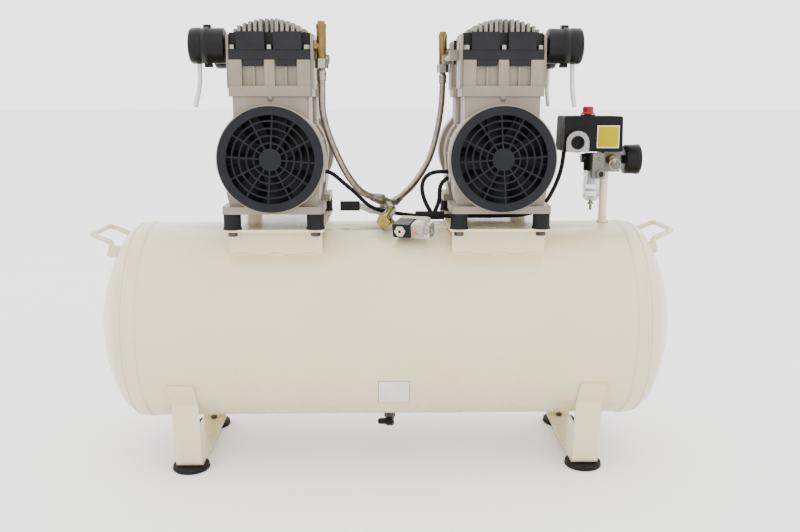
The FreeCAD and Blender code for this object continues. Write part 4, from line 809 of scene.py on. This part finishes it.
def gauge_details():
    """The gauge's dial, with ticks and numbers, seen through the lens."""
    dial = (Matrix.Translation((413.5, 0, 497)) @ Matrix.Rotation(math.radians(90), 4, "Y")
            @ Matrix.Rotation(math.radians(90), 4, "Z"))
    lathe("gauge_dial", [(0, 0.3), (21.2, 0.3), (21.2, 0.05)], dial, "dial_white")
    marks = []
    faces = []
    for step in range(DIAL_TICKS + 1):
        angle = math.radians(DIAL_START - DIAL_SWEEP * step / DIAL_TICKS)
        inner, half = (15.8, 0.32) if step % 5 == 0 else (17.6, 0.16)
        along = Vector((math.cos(angle), math.sin(angle), 0))
        across = Vector((-math.sin(angle), math.cos(angle), 0))
        first = len(marks)
        for radius, side in ((inner, -half), (19.6, -half), (19.6, half), (inner, half)):
            marks.append((dial @ (along * radius + across * side + Vector((0, 0, 0.36)))) * MM)
        faces.append((first, first + 1, first + 2, first + 3))
    add_mesh("gauge_ticks", marks, faces, "black_ink", smooth=False)
    for index in range(0, 9, 2):
        angle = math.radians(DIAL_START - DIAL_SWEEP * index / 8)
        words = bpy.data.curves.new(f"gauge_number_{index}", "FONT")
        words.body = str(index * DIAL_TOP // 8)
        words.size = 4.6 * MM
        words.align_x = "CENTER"
        words.align_y = "CENTER"
        words.materials.append(MATERIALS["black_ink"])
        number = bpy.data.objects.new(f"gauge_number_{index}", words)
        bpy.context.scene.collection.objects.link(number)
        place = dial @ Vector((11.8 * math.cos(angle), 11.8 * math.sin(angle), 0.4))
        number.matrix_world = Matrix.Translation(place * MM) @ dial.to_3x3().to_4x4()
        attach(number, "tank_frame")


def bowl_details():
    """The filter element and its baffle, seen through the clear bowl."""
    place = Matrix.Translation((338.4, -11.8, 429.8))
    lathe("filter_element", [(0, 27), (6.4, 27), (7.4, 28), (7.4, 33), (6.6, 34), (6.6, 50), (0, 50)],
          place, "white_label")
    lathe("filter_baffle", [(2.2, 14), (7.6, 15), (9.6, 16.5), (9.6, 18), (7.4, 17.4), (2.2, 16), (2.2, 14)],
          place, "white_label")
    lathe("bowl_band", [(13.5, 5.6), (13.75, 6), (13.75, 8.4), (13.5, 8.8)], place, "clear_plastic")


# ---------------------------------------------------------------- floor, lights and camera


def stage():
    """A plain pale floor, an even white studio round it and soft lights."""
    sides, radius = 96, 60
    rim = [(radius * math.cos(2 * math.pi * step / sides), radius * math.sin(2 * math.pi * step / sides), 0)
           for step in range(sides)]
    mesh = bpy.data.meshes.new("floor")
    mesh.from_pydata(rim, [], [tuple(range(sides))])
    pale = Finish("floor_white", roughness=0.8, Specular_IOR_Level=0.2)
    pale.colour(pale.blend(pale.spread(pale.noise(3, 3), 0.3, 0.7, 0, 1), (0.90, 0.90, 0.90, 1),
                           (0.88, 0.88, 0.88, 1)))
    mesh.materials.append(pale.done())
    floor = bpy.data.objects.new("floor", mesh)
    bpy.context.scene.collection.objects.link(floor)

    world = bpy.data.worlds.new("studio")
    bpy.context.scene.world = world
    world.use_nodes = True
    world.node_tree.nodes["Background"].inputs["Color"].default_value = (1.0, 1.0, 1.0, 1)
    world.node_tree.nodes["Background"].inputs["Strength"].default_value = 3.0

    soft_light("key", (1.5, -2.3, 2.3), (0, 0, 0.35), 1.8, 14)
    soft_light("fill", (-1.9, -2.2, 1.6), (0, 0, 0.35), 1.8, 6)
    soft_light("top", (0, 0.1, 2.7), (0, 0.2, 0.3), 2.2, 10)
    soft_light("back", (-0.8, 2.4, 2.2), (0, 0, 0.35), 1.8, 6)


def soft_light(name, place, target, size, power):
    light = bpy.data.lights.new(name, "AREA")
    light.shape = "SQUARE"
    light.size = size
    light.energy = power
    lamp = bpy.data.objects.new(name, light)
    lamp.location = place
    lamp.rotation_euler = (Vector(target) - Vector(place)).to_track_quat("-Z", "Y").to_euler()
    bpy.context.scene.collection.objects.link(lamp)


def camera():
    """The camera: in front, level with the pumps' cylinders, looking slightly down."""
    lens = bpy.data.cameras.new("camera")
    lens.lens = 38.55
    lens.sensor_width = 36
    eye = bpy.data.objects.new("camera", lens)
    eye.location = (-0.0084, -1.4238, 0.5924)
    eye.rotation_euler = (math.radians(90 - 10.92), 0, math.radians(-1.22))
    bpy.context.scene.collection.objects.link(eye)
    bpy.context.scene.camera = eye


# ---------------------------------------------------------------- the whole scene

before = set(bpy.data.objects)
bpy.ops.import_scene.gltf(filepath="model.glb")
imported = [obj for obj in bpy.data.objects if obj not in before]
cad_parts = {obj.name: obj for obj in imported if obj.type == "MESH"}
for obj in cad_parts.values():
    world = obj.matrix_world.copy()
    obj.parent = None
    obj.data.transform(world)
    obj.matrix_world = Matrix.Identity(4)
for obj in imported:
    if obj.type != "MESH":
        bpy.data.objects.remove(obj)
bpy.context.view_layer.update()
make_materials()
dress_nodes(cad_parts)
camera()
cords()
tank_details()
solenoid_details()
switch_details()
gauge_details()
bowl_details()
stage()
